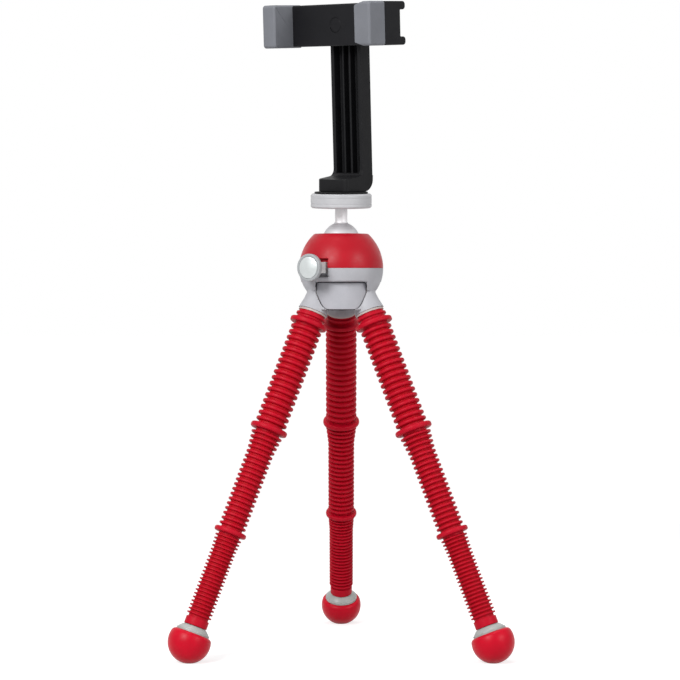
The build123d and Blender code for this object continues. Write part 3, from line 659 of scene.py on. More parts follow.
@dataclass(frozen=True)
class TurnedMetal:
    """Metal turned on a lathe: fine rings about an axis, with faint wiping smudges."""

    name: str
    colour: Colour
    roughness: float
    ring_pitch: float
    ring_depth: float
    smudge: float = 0.05
    metallic: float = 1.0
    about_axis: bool = False
    upper_colour: Optional[Colour] = None
    upper_start: float = 0.0

    def material(self, place: Matrix) -> bpy.types.Material:
        """Build the material.

        Args:
            place: The frame whose Z the rings run about.

        Returns:
            The finished material.
        """
        bench = Bench(bpy.data.materials.new(self.name))
        local = bench.place(place)
        split = [bench.add("ShaderNodeSeparateXYZ", {}, [local], axis) for axis in range(3)]
        across = (split[0] * split[0] + split[1] * split[1]).math("SQRT")
        along = across if self.about_axis else split[2]
        line = bench.add(
            "ShaderNodeTexNoise",
            {"noise_dimensions": "1D"},
            {"W": along, "Scale": 1 / (self.ring_pitch * MM), "Detail": 3.0},
            "Fac",
        )
        wipe = bench.noise(local, 3.5, 4.0, 0.65)
        dust = bench.noise(local, 0.4, 2.0)
        dim = tuple(c * 0.9 for c in self.colour)
        base = bench.blend(bench.spread(wipe * 0.6 + line * 0.4, 0.35, 0.65, 0.0, 1.0), dim, self.colour)
        if self.upper_colour is not None:
            low, high = self.upper_start * MM, (self.upper_start + 0.3) * MM
            above = bench.spread(split[2], low, high, 0.0, 1.0)
            base = bench.blend(above, base, self.upper_colour)
        smears = bench.spread(wipe, 0.45, 0.7, 0.0, self.smudge)
        roughness = (smears + self.roughness + (line + dust - 1.0) * 0.05).clamped()
        normal = bench.bump(line, self.ring_depth)
        return bench.close(
            {"Base Color": base, "Roughness": roughness, "Metallic": self.metallic, "Normal": normal}
        )


@dataclass(frozen=True)
class PlatedSteel:
    """Zinc plated or spring steel for screws and springs, and brass for the insert."""

    name: str
    colour: Colour
    roughness: float = 0.32

    def material(self) -> bpy.types.Material:
        """Build the material.

        Returns:
            The finished material.
        """
        bench = Bench(bpy.data.materials.new(self.name))
        place = bench.place()
        cloud = bench.noise(place, 1.6, 4.0, 0.6)
        fine = bench.noise(place, 0.12, 2.0)
        dull = tuple(c * 0.82 for c in self.colour)
        base = bench.blend(bench.spread(cloud, 0.35, 0.65, 0.0, 1.0), dull, self.colour)
        roughness = (bench.spread(cloud, 0.3, 0.7, -0.06, 0.1) + self.roughness + fine * 0.05).clamped()
        return bench.close(
            {"Base Color": base, "Roughness": roughness, "Metallic": 1.0, "Normal": bench.bump(fine, 0.004)}
        )


class Finishes:
    """All materials of the tripod, made once."""

    def __init__(self, head: Matrix, knob: Matrix) -> None:
        """Build the materials.

        Args:
            head: The ball head's frame, for the rings turned on its metal.
            knob: The knob's frame, for the brushed rings on its face.
        """
        self.dome = MouldedPlastic(
            "dome_red", srgb(172, 6, 28), 0.38, Grain.SILKY, 0.006, 0.05, 0.0, 0.26
        ).material()
        self.housing = MouldedPlastic("housing_grey", srgb(173, 173, 178), 0.5).material()
        self.panel = MouldedPlastic("panel_grey", srgb(170, 170, 176), 0.52, Grain.FINE, 0.014).material()
        self.platform = MouldedPlastic(
            "platform_grey", srgb(184, 184, 187), 0.42, Grain.SILKY, 0.008
        ).material()
        self.knob = MouldedPlastic("knob_grey", srgb(160, 163, 165), 0.4, Grain.FINE, 0.01).material()
        self.bush = MouldedPlastic(
            "bush_light_grey", srgb(205, 205, 205), 0.45, Grain.SILKY, 0.008
        ).material()
        self.collar = MouldedPlastic("collar_pale", srgb(184, 172, 168), 0.45, Grain.SILKY, 0.008).material()
        self.core = MouldedPlastic(
            "core_dark", srgb(40, 40, 43), 0.5, Grain.SILKY, 0.01, 0.06, 0.0, 0.2
        ).material()
        self.cap = MouldedPlastic(
            "cap_grey", srgb(166, 169, 166), 0.36, Grain.SILKY, 0.007, 0.05, 0.05
        ).material()
        self.arm = MouldedPlastic(
            "arm_black", srgb(19, 19, 21), 0.48, Grain.COARSE, 0.02, 0.1, 0.0, 0.14
        ).material()
        self.bar = MouldedPlastic(
            "bar_black", srgb(19, 19, 22), 0.5, Grain.COARSE, 0.02, 0.1, 0.0, 0.14
        ).material()
        self.jaw = MouldedPlastic(
            "jaw_grey", srgb(116, 118, 124), 0.6, Grain.FINE, 0.014, 0.06, 0.0, 0.25
        ).material()
        self.pad = MouldedPlastic(
            "pad_black_rubber", srgb(20, 20, 21), 0.62, Grain.FINE, 0.02, 0.1, 0.0, 0.14
        ).material()
        # The sleeve's second colour, darker than the first, is painted shade for the rib grooves.
        self.sleeve = RibbedRubber("sleeve_red", srgb(182, 6, 34), srgb(176, 0, 20)).material()
        self.foot = FootRubber("foot_red", srgb(200, 4, 36), srgb(160, 46, 52)).material()
        self.chrome = TurnedMetal(
            "ball_satin_steel",
            (0.6, 0.6, 0.62),
            0.6,
            0.5,
            0.0015,
            0.05,
            0.75,
            upper_colour=(0.8, 0.8, 0.81),
            upper_start=8.7,
        ).material(head)
        self.face = TurnedMetal(
            "knob_face_bright", srgb(208, 213, 213), 0.3, 0.22, 0.004, 0.08, 0.6, True
        ).material(knob)
        self.steel = PlatedSteel("steel_plated", (0.6, 0.6, 0.61)).material()
        self.brass = PlatedSteel("brass_turned", (0.72, 0.52, 0.23), 0.3).material()


# Ribbed sleeves

class RibTree:
    """Geometry nodes that turn a straight line into a run of round ribs.

    The line's radius swells and sinks once a rib, and the first ribs shrink from the run before.
    """

    NUMBERS = {
        "Ribs": "NodeSocketInt",
        "First Rib": "NodeSocketInt",
        "Samples per Rib": "NodeSocketInt",
        "Sides": "NodeSocketInt",
        "Taper Ribs": "NodeSocketFloat",
        "Crest Before": "NodeSocketFloat",
        "Crest": "NodeSocketFloat",
        "Valley Before": "NodeSocketFloat",
        "Valley": "NodeSocketFloat",
        "Fin Width": "NodeSocketFloat",
        "Fin Power": "NodeSocketFloat",
    }

    def __init__(self) -> None:
        """Build the tree."""
        self.tree = bpy.data.node_groups.new("rib_run", "GeometryNodeTree")
        face = self.tree.interface
        face.new_socket(name="Geometry", in_out="OUTPUT", socket_type="NodeSocketGeometry")
        face.new_socket(name="Start", in_out="INPUT", socket_type="NodeSocketVector")
        face.new_socket(name="End", in_out="INPUT", socket_type="NodeSocketVector")
        for name, kind in self.NUMBERS.items():
            face.new_socket(name=name, in_out="INPUT", socket_type=kind)
        face.new_socket(name="Material", in_out="INPUT", socket_type="NodeSocketMaterial")
        self.source = self.tree.nodes.new("NodeGroupInput")
        self._wire()

    def _node(
        self, kind: str, settings: Optional[dict] = None, values: Optional[dict] = None
    ) -> bpy.types.Node:
        """Add a node, set it and join its inputs.

        Args:
            kind: The node's type.
            settings: Its properties.
            values: Sockets or plain values by input name or number.

        Returns:
            The node.
        """
        node = self.tree.nodes.new(kind)
        for key, value in (settings or {}).items():
            setattr(node, key, value)
        for key, value in (values or {}).items():
            if isinstance(value, bpy.types.NodeSocket):
                self.tree.links.new(value, node.inputs[key])
            else:
                node.inputs[key].default_value = value
        return node

    def _sum(self, operation: str, *terms: Union[float, bpy.types.NodeSocket]) -> bpy.types.NodeSocket:
        """One step of arithmetic on fields."""
        values = dict(enumerate(terms))
        return self._node("ShaderNodeMath", {"operation": operation}, values).outputs[0]

    def _wire(self) -> None:
        """Join the nodes: line, radius by rib, tube, realised and coloured."""
        given = self.source.outputs
        points = self._sum("MULTIPLY_ADD", given["Ribs"], given["Samples per Rib"], 1.0)
        ends = {"Start": given["Start"], "End": given["End"]}
        line = self._node("GeometryNodeCurvePrimitiveLine", {}, ends)
        fine = self._node(
            "GeometryNodeResampleCurve", {}, {"Curve": line.outputs[0], "Count": points}
        )
        factor = self._node("GeometryNodeSplineParameter").outputs["Factor"]
        count = self._sum("MULTIPLY", factor, given["Ribs"])
        phase = self._sum("FRACT", self._sum("ADD", count, 1e-5))
        fold = self._sum("ABSOLUTE", self._sum("MULTIPLY_ADD", phase, 2.0, -1.0))
        away = self._sum("POWER", self._sum("DIVIDE", fold, given["Fin Width"]), given["Fin Power"])
        fin = self._sum("SQRT", self._sum("MAXIMUM", self._sum("SUBTRACT", 1.0, away), 0.0))
        number = self._sum("ADD", count, given["First Rib"])
        gone = self._sum("DIVIDE", number, given["Taper Ribs"])
        left = self._sum("MAXIMUM", self._sum("SUBTRACT", 1.0, gone), 0.0)
        sizes = []
        for name in ("Crest", "Valley"):
            drop = self._sum("SUBTRACT", given[name + " Before"], given[name])
            sizes.append(self._sum("MULTIPLY_ADD", drop, left, given[name]))
        height = self._sum("SUBTRACT", sizes[0], sizes[1])
        radius = self._sum("MULTIPLY_ADD", height, fin, sizes[1])
        # The rib profile is also stored as 'fin'; the sleeve material paints shade into the grooves from it.
        marked = self._node(
            "GeometryNodeStoreNamedAttribute",
            {"data_type": "FLOAT", "domain": "POINT"},
            {"Geometry": fine.outputs[0], "Name": "fin", "Value": fin},
        )
        sized = self._node(
            "GeometryNodeSetCurveRadius", {}, {"Curve": marked.outputs[0], "Radius": radius}
        )
        unit = {"Resolution": given["Sides"], "Radius": 1.0}
        circle = self._node("GeometryNodeCurvePrimitiveCircle", {"mode": "RADIUS"}, unit)
        tube = self._node(
            "GeometryNodeCurveToMesh", {}, {"Curve": sized.outputs[0], "Profile Curve": circle.outputs[0]}
        )
        if "Scale" in tube.inputs:
            self.tree.links.new(radius, tube.inputs["Scale"])
        real = self._node("GeometryNodeRealizeInstances", {}, {"Geometry": tube.outputs[0]})
        done = self._node(
            "GeometryNodeSetMaterial", {}, {"Geometry": real.outputs[0], "Material": given["Material"]}
        )
        output = self.tree.nodes.new("NodeGroupOutput")
        self.tree.links.new(done.outputs[0], output.inputs["Geometry"])

    def run(self, values: dict) -> bpy.types.Mesh:
        """Evaluate the tree once.

        Args:
            values: The inputs by name.

        Returns:
            The run of ribs as a plain mesh.
        """
        holder = add_object("rib_holder", bpy.data.meshes.new("rib_holder"))
        modifier = holder.modifiers.new("ribs", "NODES")
        modifier.node_group = self.tree
        for item in self.tree.interface.items_tree:
            if item.in_out == "INPUT":
                modifier[item.identifier] = values[item.name]
        evaluated = holder.evaluated_get(bpy.context.evaluated_depsgraph_get())
        mesh = bpy.data.meshes.new_from_object(evaluated)
        bpy.data.objects.remove(holder)
        return mesh


@dataclass(frozen=True)
class RibRun:
    """A run of ribs between two plain rings, with stations down the leg in millimetres."""

    start: float
    end: float
    ribs: int
    crest: float
    valley: float
    crest_before: float
    valley_before: float
    fin_width: float

    def station(self, rib: int) -> float:
        """Where a rib starts."""
        return self.start + (self.end - self.start) * rib / self.ribs


@dataclass
class Leg:
    """A flexible leg: six stretches of ribbed sleeve, a dished cap and a ball foot.

    The neck's and the cap rim's corners are a radius, a distance along the leg and a rounding.
    The neck's distances run down from the top, the dish's down from the ankle, and the rim's up
    from the foot's top. The dish has no rounding.
    """

    name: str
    finishes: Finishes
    ribs: RibTree
    first_joint: float = 46.5
    foot_station: float = 208.3
    top: float = 41.0
    bore: float = 3.9
    sides: int = 72
    samples: int = 16
    taper: float = 4.0
    fin_power: float = 3.4
    plain_fin: float = 0.85
    neck: tuple[Corner, ...] = (
        (6.45, 0.0, 0), (6.45, 1.1, 0.2), (7.45, 1.2, 0.35), (7.45, 2.3, 0.35), (6.5, 2.4, 0.2),
        (6.5, 4.1, 0.3),
    )
    flange_middle: float = 46.3
    flange_height: float = 2.2
    flange_radius: float = 9.15
    flange_round: float = 0.34
    bead_stations: tuple[float, float] = (101.1125, 153.61075)
    bead_heights: tuple[float, float] = (2.6, 2.3)
    bead_radii: tuple[float, float] = (9.1, 7.85)
    run_gap: float = 0.8
    ankle: float = 200.6
    ankle_height: float = 3.7
    ankle_radius: float = 5.6
    ankle_foot_radius: float = 5.1
    ankle_rounds: tuple[float, float] = (0.5, 0.4)
    reach: float = 9.0
    root_margin: float = 0.4
    cap_bore: float = 2.7
    cap_dish: tuple[tuple[float, float], ...] = (
        (5.2, 0.15), (5.7, 0.42), (6.25, 0.85), (6.8, 1.35), (7.3, 1.85), (7.5, 2.1),
    )
    cap_rim: tuple[Corner, ...] = (
        (7.55, 1.2, 0.1), (8.05, 1.1, 0.2), (8.1, 0.6, 0.08), (7.95, 0.5, 0.05), (8.1, 0.4, 0.05),
        (8.1, 0.0, 0.1),
    )
    foot_radius: float = 10.2
    foot_top: float = 4.2
    foot_edge: float = 2.0
    place: Matrix = field(init=False)
    stations: list[float] = field(init=False)

    def __post_init__(self) -> None:
        """Find the leg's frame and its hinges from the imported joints."""
        entries = [joint(f"leg_{self.name}_bend_{number}") for number in range(1, 7)]
        spots = [Vector(entry["pos_m"]) for entry in entries]
        down = (spots[-1] - spots[0]).normalized()
        apex = spots[0] - down * self.first_joint * MM
        outwards = Vector((down.x, down.y, 0))
        self.place = frame_matrix(apex, outwards, -down)
        self.stations = [(spot - apex).length / MM for spot in spots]

    def runs(self) -> list[RibRun]:
        """The three runs of ribs, from the root down."""
        first, second = (height / 2 + self.run_gap for height in self.bead_heights)
        one, two = self.bead_stations
        start = self.flange_middle + self.flange_height / 2 + self.run_gap
        last = self.ankle - self.ankle_height - self.run_gap
        return [
            RibRun(start, one - first, 17, 7.7, 6.1, 7.7, 6.1, 0.64),
            RibRun(one + first, two - second, 20, 6.6, 5.2, 7.8, 5.9, 0.6),
            RibRun(two + second, last, 22, 6.1, 4.85, 6.6, 5.2, 0.52),
        ]

    def ring(
        self,
        middle: float,
        height: float,
        radius: float,
        before: float,
        after: float,
        round_share: float = 0.45,
    ) -> Outline:
        """A plain round ring that stands out of the ribs.

        Args:
            middle: Its station.
            height: Its height along the leg.
            radius: Its radius.
            before: The radius of the groove above it.
            after: The radius of the groove below it.
            round_share: The rounding of its edges as a share of its height.

        Returns:
            Radius and station of the points from its top to its bottom.
        """
        low, high = middle - height / 2, middle + height / 2
        ease = height * round_share
        corner = [(radius, low, ease), (radius, high, ease)]
        return rounded([(before, low, 0), *corner, (after, high, 0)], 6)

    def bead(self, number: int) -> Outline:
        """A bulge ring with the plain groove on each side of it, between two runs of ribs."""
        above, below = self.runs()[number : number + 2]
        sizes = (self.bead_stations[number], self.bead_heights[number], self.bead_radii[number])
        shape = self.ring(*sizes, above.valley, below.valley_before)
        return [(above.valley, above.end), *shape, (below.valley_before, below.start)]

    def root_shape(self) -> Outline:
        """The neck, the small ring and the flange at the root of the sleeve."""
        run = self.runs()[0]
        shape = rounded([(radius, self.top + down, ease) for radius, down, ease in self.neck], 4)
        sizes = (self.flange_middle, self.flange_height, self.flange_radius)
        flange = self.ring(*sizes, self.neck[-1][0], run.valley_before, self.flange_round)
        return shape + flange[1:] + [(run.valley_before, run.start)]

    def ankle_shape(self) -> Outline:
        """The plain collar above the foot cap."""
        start = self.ankle - self.ankle_height
        run = self.runs()[2]
        upper, lower = self.ankle_rounds
        collar = [(run.valley, start, 0), (self.ankle_radius, start, upper)]
        collar += [(self.ankle_radius, self.ankle, lower), (self.ankle_foot_radius, self.ankle, 0)]
        return [(run.valley, run.end), *rounded(collar, 5)]

    def skin(self, shape: Outline) -> bmesh.types.BMesh:
        """Turn an open outline into a tube with as many sides as the ribs have."""
        built = bmesh.new()
        layer = built.verts.layers.float.new("fin")
        rings = []
        for radius, station in shape:
            ring = []
            for side in range(self.sides):
                angle = 2 * pi * side / self.sides
                spot = (radius * cos(angle) * MM, radius * sin(angle) * MM, -station * MM)
                vert = built.verts.new(spot)
                # Plain rings take the crest end of the painted groove shade.
                vert[layer] = self.plain_fin
                ring.append(vert)
            rings.append(ring)
        for upper, lower in zip(rings, rings[1:]):
            for side in range(self.sides):
                after = (side + 1) % self.sides
                built.faces.new([upper[side], upper[after], lower[after], lower[side]])
        return built

    def rib_mesh(self, run: RibRun, first: int, last: int) -> bpy.types.Mesh:
        """A stretch of a run, made by the geometry nodes.

        Args:
            run: The run.
            first: Its first rib that is made.
            last: The rib after the last.

        Returns:
            The mesh in the leg's frame.
        """
        values = {
            "Start": (0.0, 0.0, -run.station(first) * MM),
            "End": (0.0, 0.0, -run.station(last) * MM),
            "Ribs": last - first,
            "First Rib": first,
            "Samples per Rib": self.samples,
            "Sides": self.sides,
            "Taper Ribs": self.taper,
            "Crest Before": run.crest_before * MM,
            "Crest": run.crest * MM,
            "Valley Before": run.valley_before * MM,
            "Valley": run.valley * MM,
            "Fin Width": run.fin_width,
            "Fin Power": self.fin_power,
            "Material": self.finishes.sleeve,
        }
        return self.ribs.run(values)

    def stretches(self) -> list[list[tuple[str, object]]]:
        """Divide the sleeve halfway between its hinges, at the nearest groove.

        Returns:
            For each hinge, the outlines and the parts of runs that its stretch holds.
        """
        borders = [(a + b) / 2 for a, b in zip(self.stations, self.stations[1:])]
        runs = self.runs()
        features: list[tuple[str, object]] = [("shape", self.root_shape())]
        rings = [self.bead(0), self.bead(1), self.ankle_shape()]
        for run, ring in zip(runs, rings):
            features += [("run", run), ("shape", ring)]
        pieces: list[list[tuple[str, object]]] = [[]]
        for kind, value in features:
            if kind == "shape":
                pieces[-1].append((kind, value))
                continue
            first = 0
            for border in list(borders):
                if border < value.end:
                    share = (border - value.start) / (value.end - value.start)
                    cut = round(share * value.ribs)
                    pieces[-1].append(("part", (value, first, cut)))
                    pieces.append([])
                    first = cut
                    borders.remove(border)
            pieces[-1].append(("part", (value, first, value.ribs)))
        return pieces

    def closed(self, built: bmesh.types.BMesh) -> None:
        """Close a stretch of skin with flat ends and a bore."""
        edges = [edge for edge in built.edges if edge.is_boundary]
        heights = sorted({round(edge.verts[0].co.z, 7) for edge in edges})
        rims = []
        for end in (heights[0], heights[-1]):
            rim = [edge for edge in edges if abs(edge.verts[0].co.z - end) < 2e-7]
            made = bmesh.ops.extrude_edge_only(built, edges=rim)["geom"]
            verts = [item for item in made if isinstance(item, bmesh.types.BMVert)]
            for vert in verts:
                size = hypot(vert.co.x, vert.co.y)
                vert.co.x *= self.bore * MM / size
                vert.co.y *= self.bore * MM / size
            rims += [item for item in made if isinstance(item, bmesh.types.BMEdge)]
        bmesh.ops.bridge_loops(built, edges=rims)
        bmesh.ops.recalc_face_normals(built, faces=built.faces)

    def build_sleeve(self) -> None:
        """Make the six stretches of sleeve, each across one hinge."""
        for number, parts in enumerate(self.stretches()):
            built = bmesh.new()
            built.verts.layers.float.new("fin")
            gather(
                built,
                (
                    plain_mesh("skin", self.skin(value)) if kind == "shape" else self.rib_mesh(*value)
                    for kind, value in parts
                ),
            )
            bmesh.ops.remove_doubles(built, verts=built.verts, dist=3e-6)
            self.closed(built)
            name = f"leg_{self.name}_sleeve_stretch_{number + 1}"
            piece = finish_mesh(name, built, self.place, self.finishes.sleeve, 60)
            station = self.stations[number]
            first = max(self.top + self.root_margin, station - self.reach)
            start = self.place @ Vector((0, 0, -first * MM))
            end = self.place @ Vector((0, 0, -(station + self.reach) * MM))
            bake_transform(piece)
            if number == 0:
                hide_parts(f"leg_{self.name}_sleeve")

    def build_cap(self) -> None:
        """Make the dished cap between the ankle and the foot."""
        rim_end = self.foot_station - self.foot_top
        shape = [(self.cap_bore, self.ankle, 0)]
        shape += [(radius, self.ankle + down, 0) for radius, down in self.cap_dish]
        shape += [(radius, rim_end - up, ease) for radius, up, ease in self.cap_rim]
        shape.append((self.cap_bore, rim_end, 0))
        outline = [(r, -s) for r, s in rounded(shape, 3)]
        piece = finish_mesh(f"leg_{self.name}_cap", lathe(outline), self.place, self.finishes.cap, 50)
        seat(piece, f"leg_{self.name}_6", f"leg_{self.name}_foot_cap")

    def build_foot(self) -> None:
        """Make the ball foot with its flat on the ground."""
        height = self.foot_top - self.foot_edge
        away = sqrt((self.foot_radius - self.foot_edge) ** 2 - height**2)
        meet = degrees(atan2(height, away))
        ball = arc((0, 0), self.foot_radius, -90, meet, 56)
        edge = arc((away, height), self.foot_edge, meet, 90, 10)
        outline = [(0.0, -self.foot_radius), *ball[1:], *edge[1:], (0.0, self.foot_top)]
        outline = [(max(0.0, r), z - self.foot_station) for r, z in outline]
        built = lathe(outline, 112)
        bmesh.ops.transform(built, matrix=self.place, verts=built.verts)
        geometry = list(built.verts) + list(built.edges) + list(built.faces)
        cut = bmesh.ops.bisect_plane(
            built, geom=geometry, plane_co=(0, 0, 0), plane_no=(0, 0, -1), clear_outer=True
        )
        loop = [item for item in cut["geom_cut"] if isinstance(item, bmesh.types.BMEdge)]
        bmesh.ops.contextual_create(built, geom=loop)
        bmesh.ops.recalc_face_normals(built, faces=built.faces)
        piece = finish_mesh(f"leg_{self.name}_ball", built, None, self.finishes.foot, 30)
        seat(piece, f"leg_{self.name}_6", f"leg_{self.name}_foot")

    def build(self) -> None:
        """Make and dress the whole leg."""
        self.build_sleeve()
        self.build_cap()
        self.build_foot()
        paint([f"leg_{self.name}_socket"], self.finishes.collar)
        paint([f"leg_{self.name}_link_{number}" for number in range(1, 7)], self.finishes.core)


# Ball head

@dataclass
class BallHead:
    """Chromed ball and post, platform and pad, all about the leaning head axis."""

    place: Matrix
    finishes: Finishes
    ball: float = 9.2
    post: float = 3.0
    post_seat: float = 3.4
    flare: float = 1.3
    disc_bottom: float = 16.1
    disc_height: float = 7.0
    disc_radius: float = 14.85
    disc_bore: float = 3.05
    disc_hub: float = 4.3
    disc_socket: float = 5.1
    edge_across: float = 0.7
    edge_down: float = 0.75
    edge_round: float = 0.35
    band_heights: tuple[float, float] = (2.1, 4.9)
    band_half: float = 0.22
    band_depth: float = 0.16
    band_round: float = 0.08
    pad_bore: float = 3.5
    pad_radius: float = 13.05
    pad_height: float = 0.9

    def build_stud(self) -> None:
        """Make the ball with its post."""
        neck = self.post + self.flare / 2
        meet = degrees(acos(neck / self.ball))
        sphere = arc((0, 0), self.ball, -90, meet, 60)
        height = sphere[-1][1]
        curve = [
            (self.post + self.flare / 2 * (1 - share) ** 2, height + self.flare * share)
            for share in (0.15, 0.35, 0.6, 0.85, 1.0)
        ]
        end = self.disc_bottom + self.post_seat
        outline = [(0.0, -self.ball), *sphere[1:], *curve, (self.post, end), (0.0, end)]
        piece = finish_mesh("ball_and_post", lathe(outline, 128), self.place, self.finishes.chrome, 50)
        seat(piece, "head", "ball_stud")

    def build_platform(self) -> None:
        """Make the platform disc, with eased edges and fine bands round its side."""
        low, high = self.disc_bottom, self.disc_bottom + self.disc_height
        outer, seated = self.disc_radius, low + self.post_seat
        flat, soft = outer - self.edge_across, self.band_round
        shape = [(self.disc_bore, low, 0.1), (self.disc_hub, low, 0.3)]
        shape += [(flat, low, self.edge_round), (outer, low + self.edge_down, self.edge_round)]
        for band in (low + height for height in self.band_heights):
            shape.append((outer, band - self.band_half, soft))
            shape.append((outer - self.band_depth, band, soft))
            shape.append((outer, band + self.band_half, soft))
        shape += [(outer, high - self.edge_down, self.edge_round), (flat, high, self.edge_round)]
        shape += [(self.disc_socket, high, 0), (self.disc_socket, seated, 0), (self.disc_bore, seated, 0)]
        piece = finish_mesh(
            "platform_disc", lathe(rounded(shape, 4), 128), self.place, self.finishes.platform, 40
        )
        seat(piece, "head", "platform")

    def build_pad(self) -> None:
        """Make the thin rubber pad."""
        low = self.disc_bottom + self.disc_height
        high = low + self.pad_height
        outer = self.pad_radius
        shape = [(self.pad_bore, low, 0), (outer, low, 0.1), (outer, high, 0.3), (self.pad_bore, high, 0)]
        piece = finish_mesh(
            "platform_rubber_pad", lathe(rounded(shape, 4), 112), self.place, self.finishes.pad, 40
        )
        seat(piece, "head", "platform_pad")

    def build(self) -> None:
        """Make and dress the ball head."""
        self.build_stud()
        self.build_platform()
        self.build_pad()
        paint(["camera_stud"], self.finishes.steel)
        paint(["ball_seat", "friction_ring"], self.finishes.collar)
        paint(["seat_cushion"], self.finishes.pad)


@dataclass
class Housing:
    """Red dome over the grey housing with its panels, base cover and screws.

    The shield is a table of depths below the housing's middle with its half width at each.
    """

    place: Matrix
    finishes: Finishes
    dome_ease: float = 0.22
    housing_ease: float = 0.0
    panel_radius: float = 16.75
    panel_back: float = 15.7
    panel_ease: float = 0.4
    panel_turns: tuple[float, ...] = (0.0, 120.0, 240.0)
    groove: float = 0.36
    groove_reach: float = 26.0
    shield: tuple[tuple[float, float], ...] = (
        (7.5, 10.8), (7.6, 11.25), (7.8, 11.6), (8.2, 11.9), (8.7, 12.0), (11.8, 12.0), (13.2, 11.65),
        (14.7, 11.0), (16.2, 10.3), (17.4, 9.7), (18.6, 9.0), (19.3, 8.4), (19.9, 7.6), (20.25, 6.8),
        (20.4, 6.0),
    )
    border_insets: tuple[float, ...] = (0.0, 0.1, 0.25, 0.4)
    inner_rows: tuple[float, ...] = (9.5, 10.3, 11.1, 12.5, 14.0, 15.4, 16.8, 18.0)
    half_columns: int = 8
    # Radii of the dark sheet behind the shield gaps, which is painted shade.
    shade_sheet_front: float = 15.75
    shade_sheet_back: float = 14.9

    def half_width(self, depth: float) -> float:
        """Half of the shield's width at a depth, from its table."""
        for (upper, wide), (lower, narrow) in zip(self.shield, self.shield[1:]):
            if depth <= lower:
                return wide + (narrow - wide) * max(0.0, depth - upper) / (lower - upper)
        return self.shield[-1][1]

    def shield_block(self, grow: float, inner: float, outer: float, ease: float = 0.0) -> bmesh.types.BMesh:
        """Build a curved shield between two radii about the housing's axis.

        Args:
            grow: How far it reaches past the shield's outline on every side.
            inner: Radius of its back.
            outer: Radius of its face.
            ease: Width of the rounded border of its face, or zero.

        Returns:
            The closed shield in metres at the front of the housing, in the housing's frame.
        """
        top, foot = self.shield[0][0], self.shield[-1][0]
        insets, columns = self.border_insets, self.half_columns
        border = {top + inset for inset in insets} | {foot - inset for inset in insets}
        rows = sorted({depth for depth, _ in self.shield} | border | set(self.inner_rows))
        built = bmesh.new()
        sheets: list[list[list[bmesh.types.BMVert]]] = [[], []]
        for depth in rows:
            half = self.half_width(depth) + grow
            flat = half - insets[-1]
            across = [-half + inset for inset in insets[:-1]]
            across += [-flat + flat * step / columns for step in range(2 * columns + 1)]
            across += [half - inset for inset in reversed(insets[:-1])]
            lowered = foot + grow if depth == foot else top - grow if depth == top else depth
            for sheet, radius in zip(sheets, (outer, inner)):
                line = []
                for x in across:
                    edge = min(half - abs(x), depth - top, foot - depth)
                    drop = 0.0
                    if radius == outer and edge < ease:
                        drop = ease * (1 - sqrt(max(0.0, 1 - (1 - edge / ease) ** 2)))
                    y = -sqrt((radius - drop) ** 2 - x * x)
                    line.append(built.verts.new((x * MM, y * MM, -lowered * MM)))
                sheet.append(line)
        face, back = sheets
        spans = range(len(face[0]) - 1)
        for (above, behind), (below, beneath) in zip(zip(face, back), zip(face[1:], back[1:])):
            for left in spans:
                right = left + 1
                built.faces.new([above[left], below[left], below[right], above[right]])
                built.faces.new([behind[left], behind[right], beneath[right], beneath[left]])
            for side in (0, -1):
                built.faces.new([above[side], behind[side], beneath[side], below[side]])
        for front, rear in ((face[0], back[0]), (face[-1], back[-1])):
            for left in spans:
                built.faces.new([front[left], front[left + 1], rear[left + 1], rear[left]])
        bmesh.ops.recalc_face_normals(built, faces=built.faces)
        return built

    def turned(self, built: bmesh.types.BMesh, degrees_round: float) -> bmesh.types.BMesh:
        """Bring a front shield to its side of the housing."""
        matrix = self.place @ Matrix.Rotation(radians(degrees_round), 4, "Z")
        bmesh.ops.transform(built, matrix=matrix, verts=built.verts)
        return built

    def carve_grooves(self, made: bpy.types.Object) -> None:
        """Open the housing round each shield, so that a shadow gap follows its outline."""
        for turn in self.panel_turns:
            cutter = self.shield_block(self.groove, self.shade_sheet_front - 0.1, self.groove_reach)
            combine(made, self.turned(cutter, turn), "DIFFERENCE")

    def three(self, grow: float, inner: float, outer: float, ease: float) -> bmesh.types.BMesh:
        """Build the same curved slab on all three sides."""
        slabs = (self.turned(self.shield_block(grow, inner, outer, ease), turn) for turn in self.panel_turns)
        return gather(bmesh.new(), (plain_mesh("slab", slab) for slab in slabs))

    def build_panels(self) -> None:
        """Make the three shields and a dark sheet in the gap round them, painted shade standing in for the
        gap's shadow.
        """
        shields = self.three(0.0, self.panel_back, self.panel_radius, self.panel_ease)
        # Painted shade: a dark sheet behind the gap round each shield, standing in for the shadow there.
        shade_sheet = self.three(self.groove, self.shade_sheet_back, self.shade_sheet_front, 0.0)
        panels = finish_mesh("shield_panels", shields, None, self.finishes.panel, 60)
        seat(panels, "hub", "side_panels")
        piece = finish_mesh("shield_gap_lining", shade_sheet, None, self.finishes.core, 60)
        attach(piece, "hub")

    def build(self) -> None:
        """Make and dress the housing."""
        looks = self.finishes
        dress("upper_dome", "red_dome", "hub", looks.dome, self.dome_ease)
        dress(
            "lower_housing",
            "grey_housing",
            "hub",
            looks.housing,
            self.housing_ease,
            self.carve_grooves,
        )
        self.build_panels()
        dress("base_cover", "round_base_cover", "hub", looks.core, 0.15)
        dress("knob_bush", "light_knob_bush", "hub", looks.bush, 0.2)
        paint(["housing_screws", "cover_screw"], looks.steel)


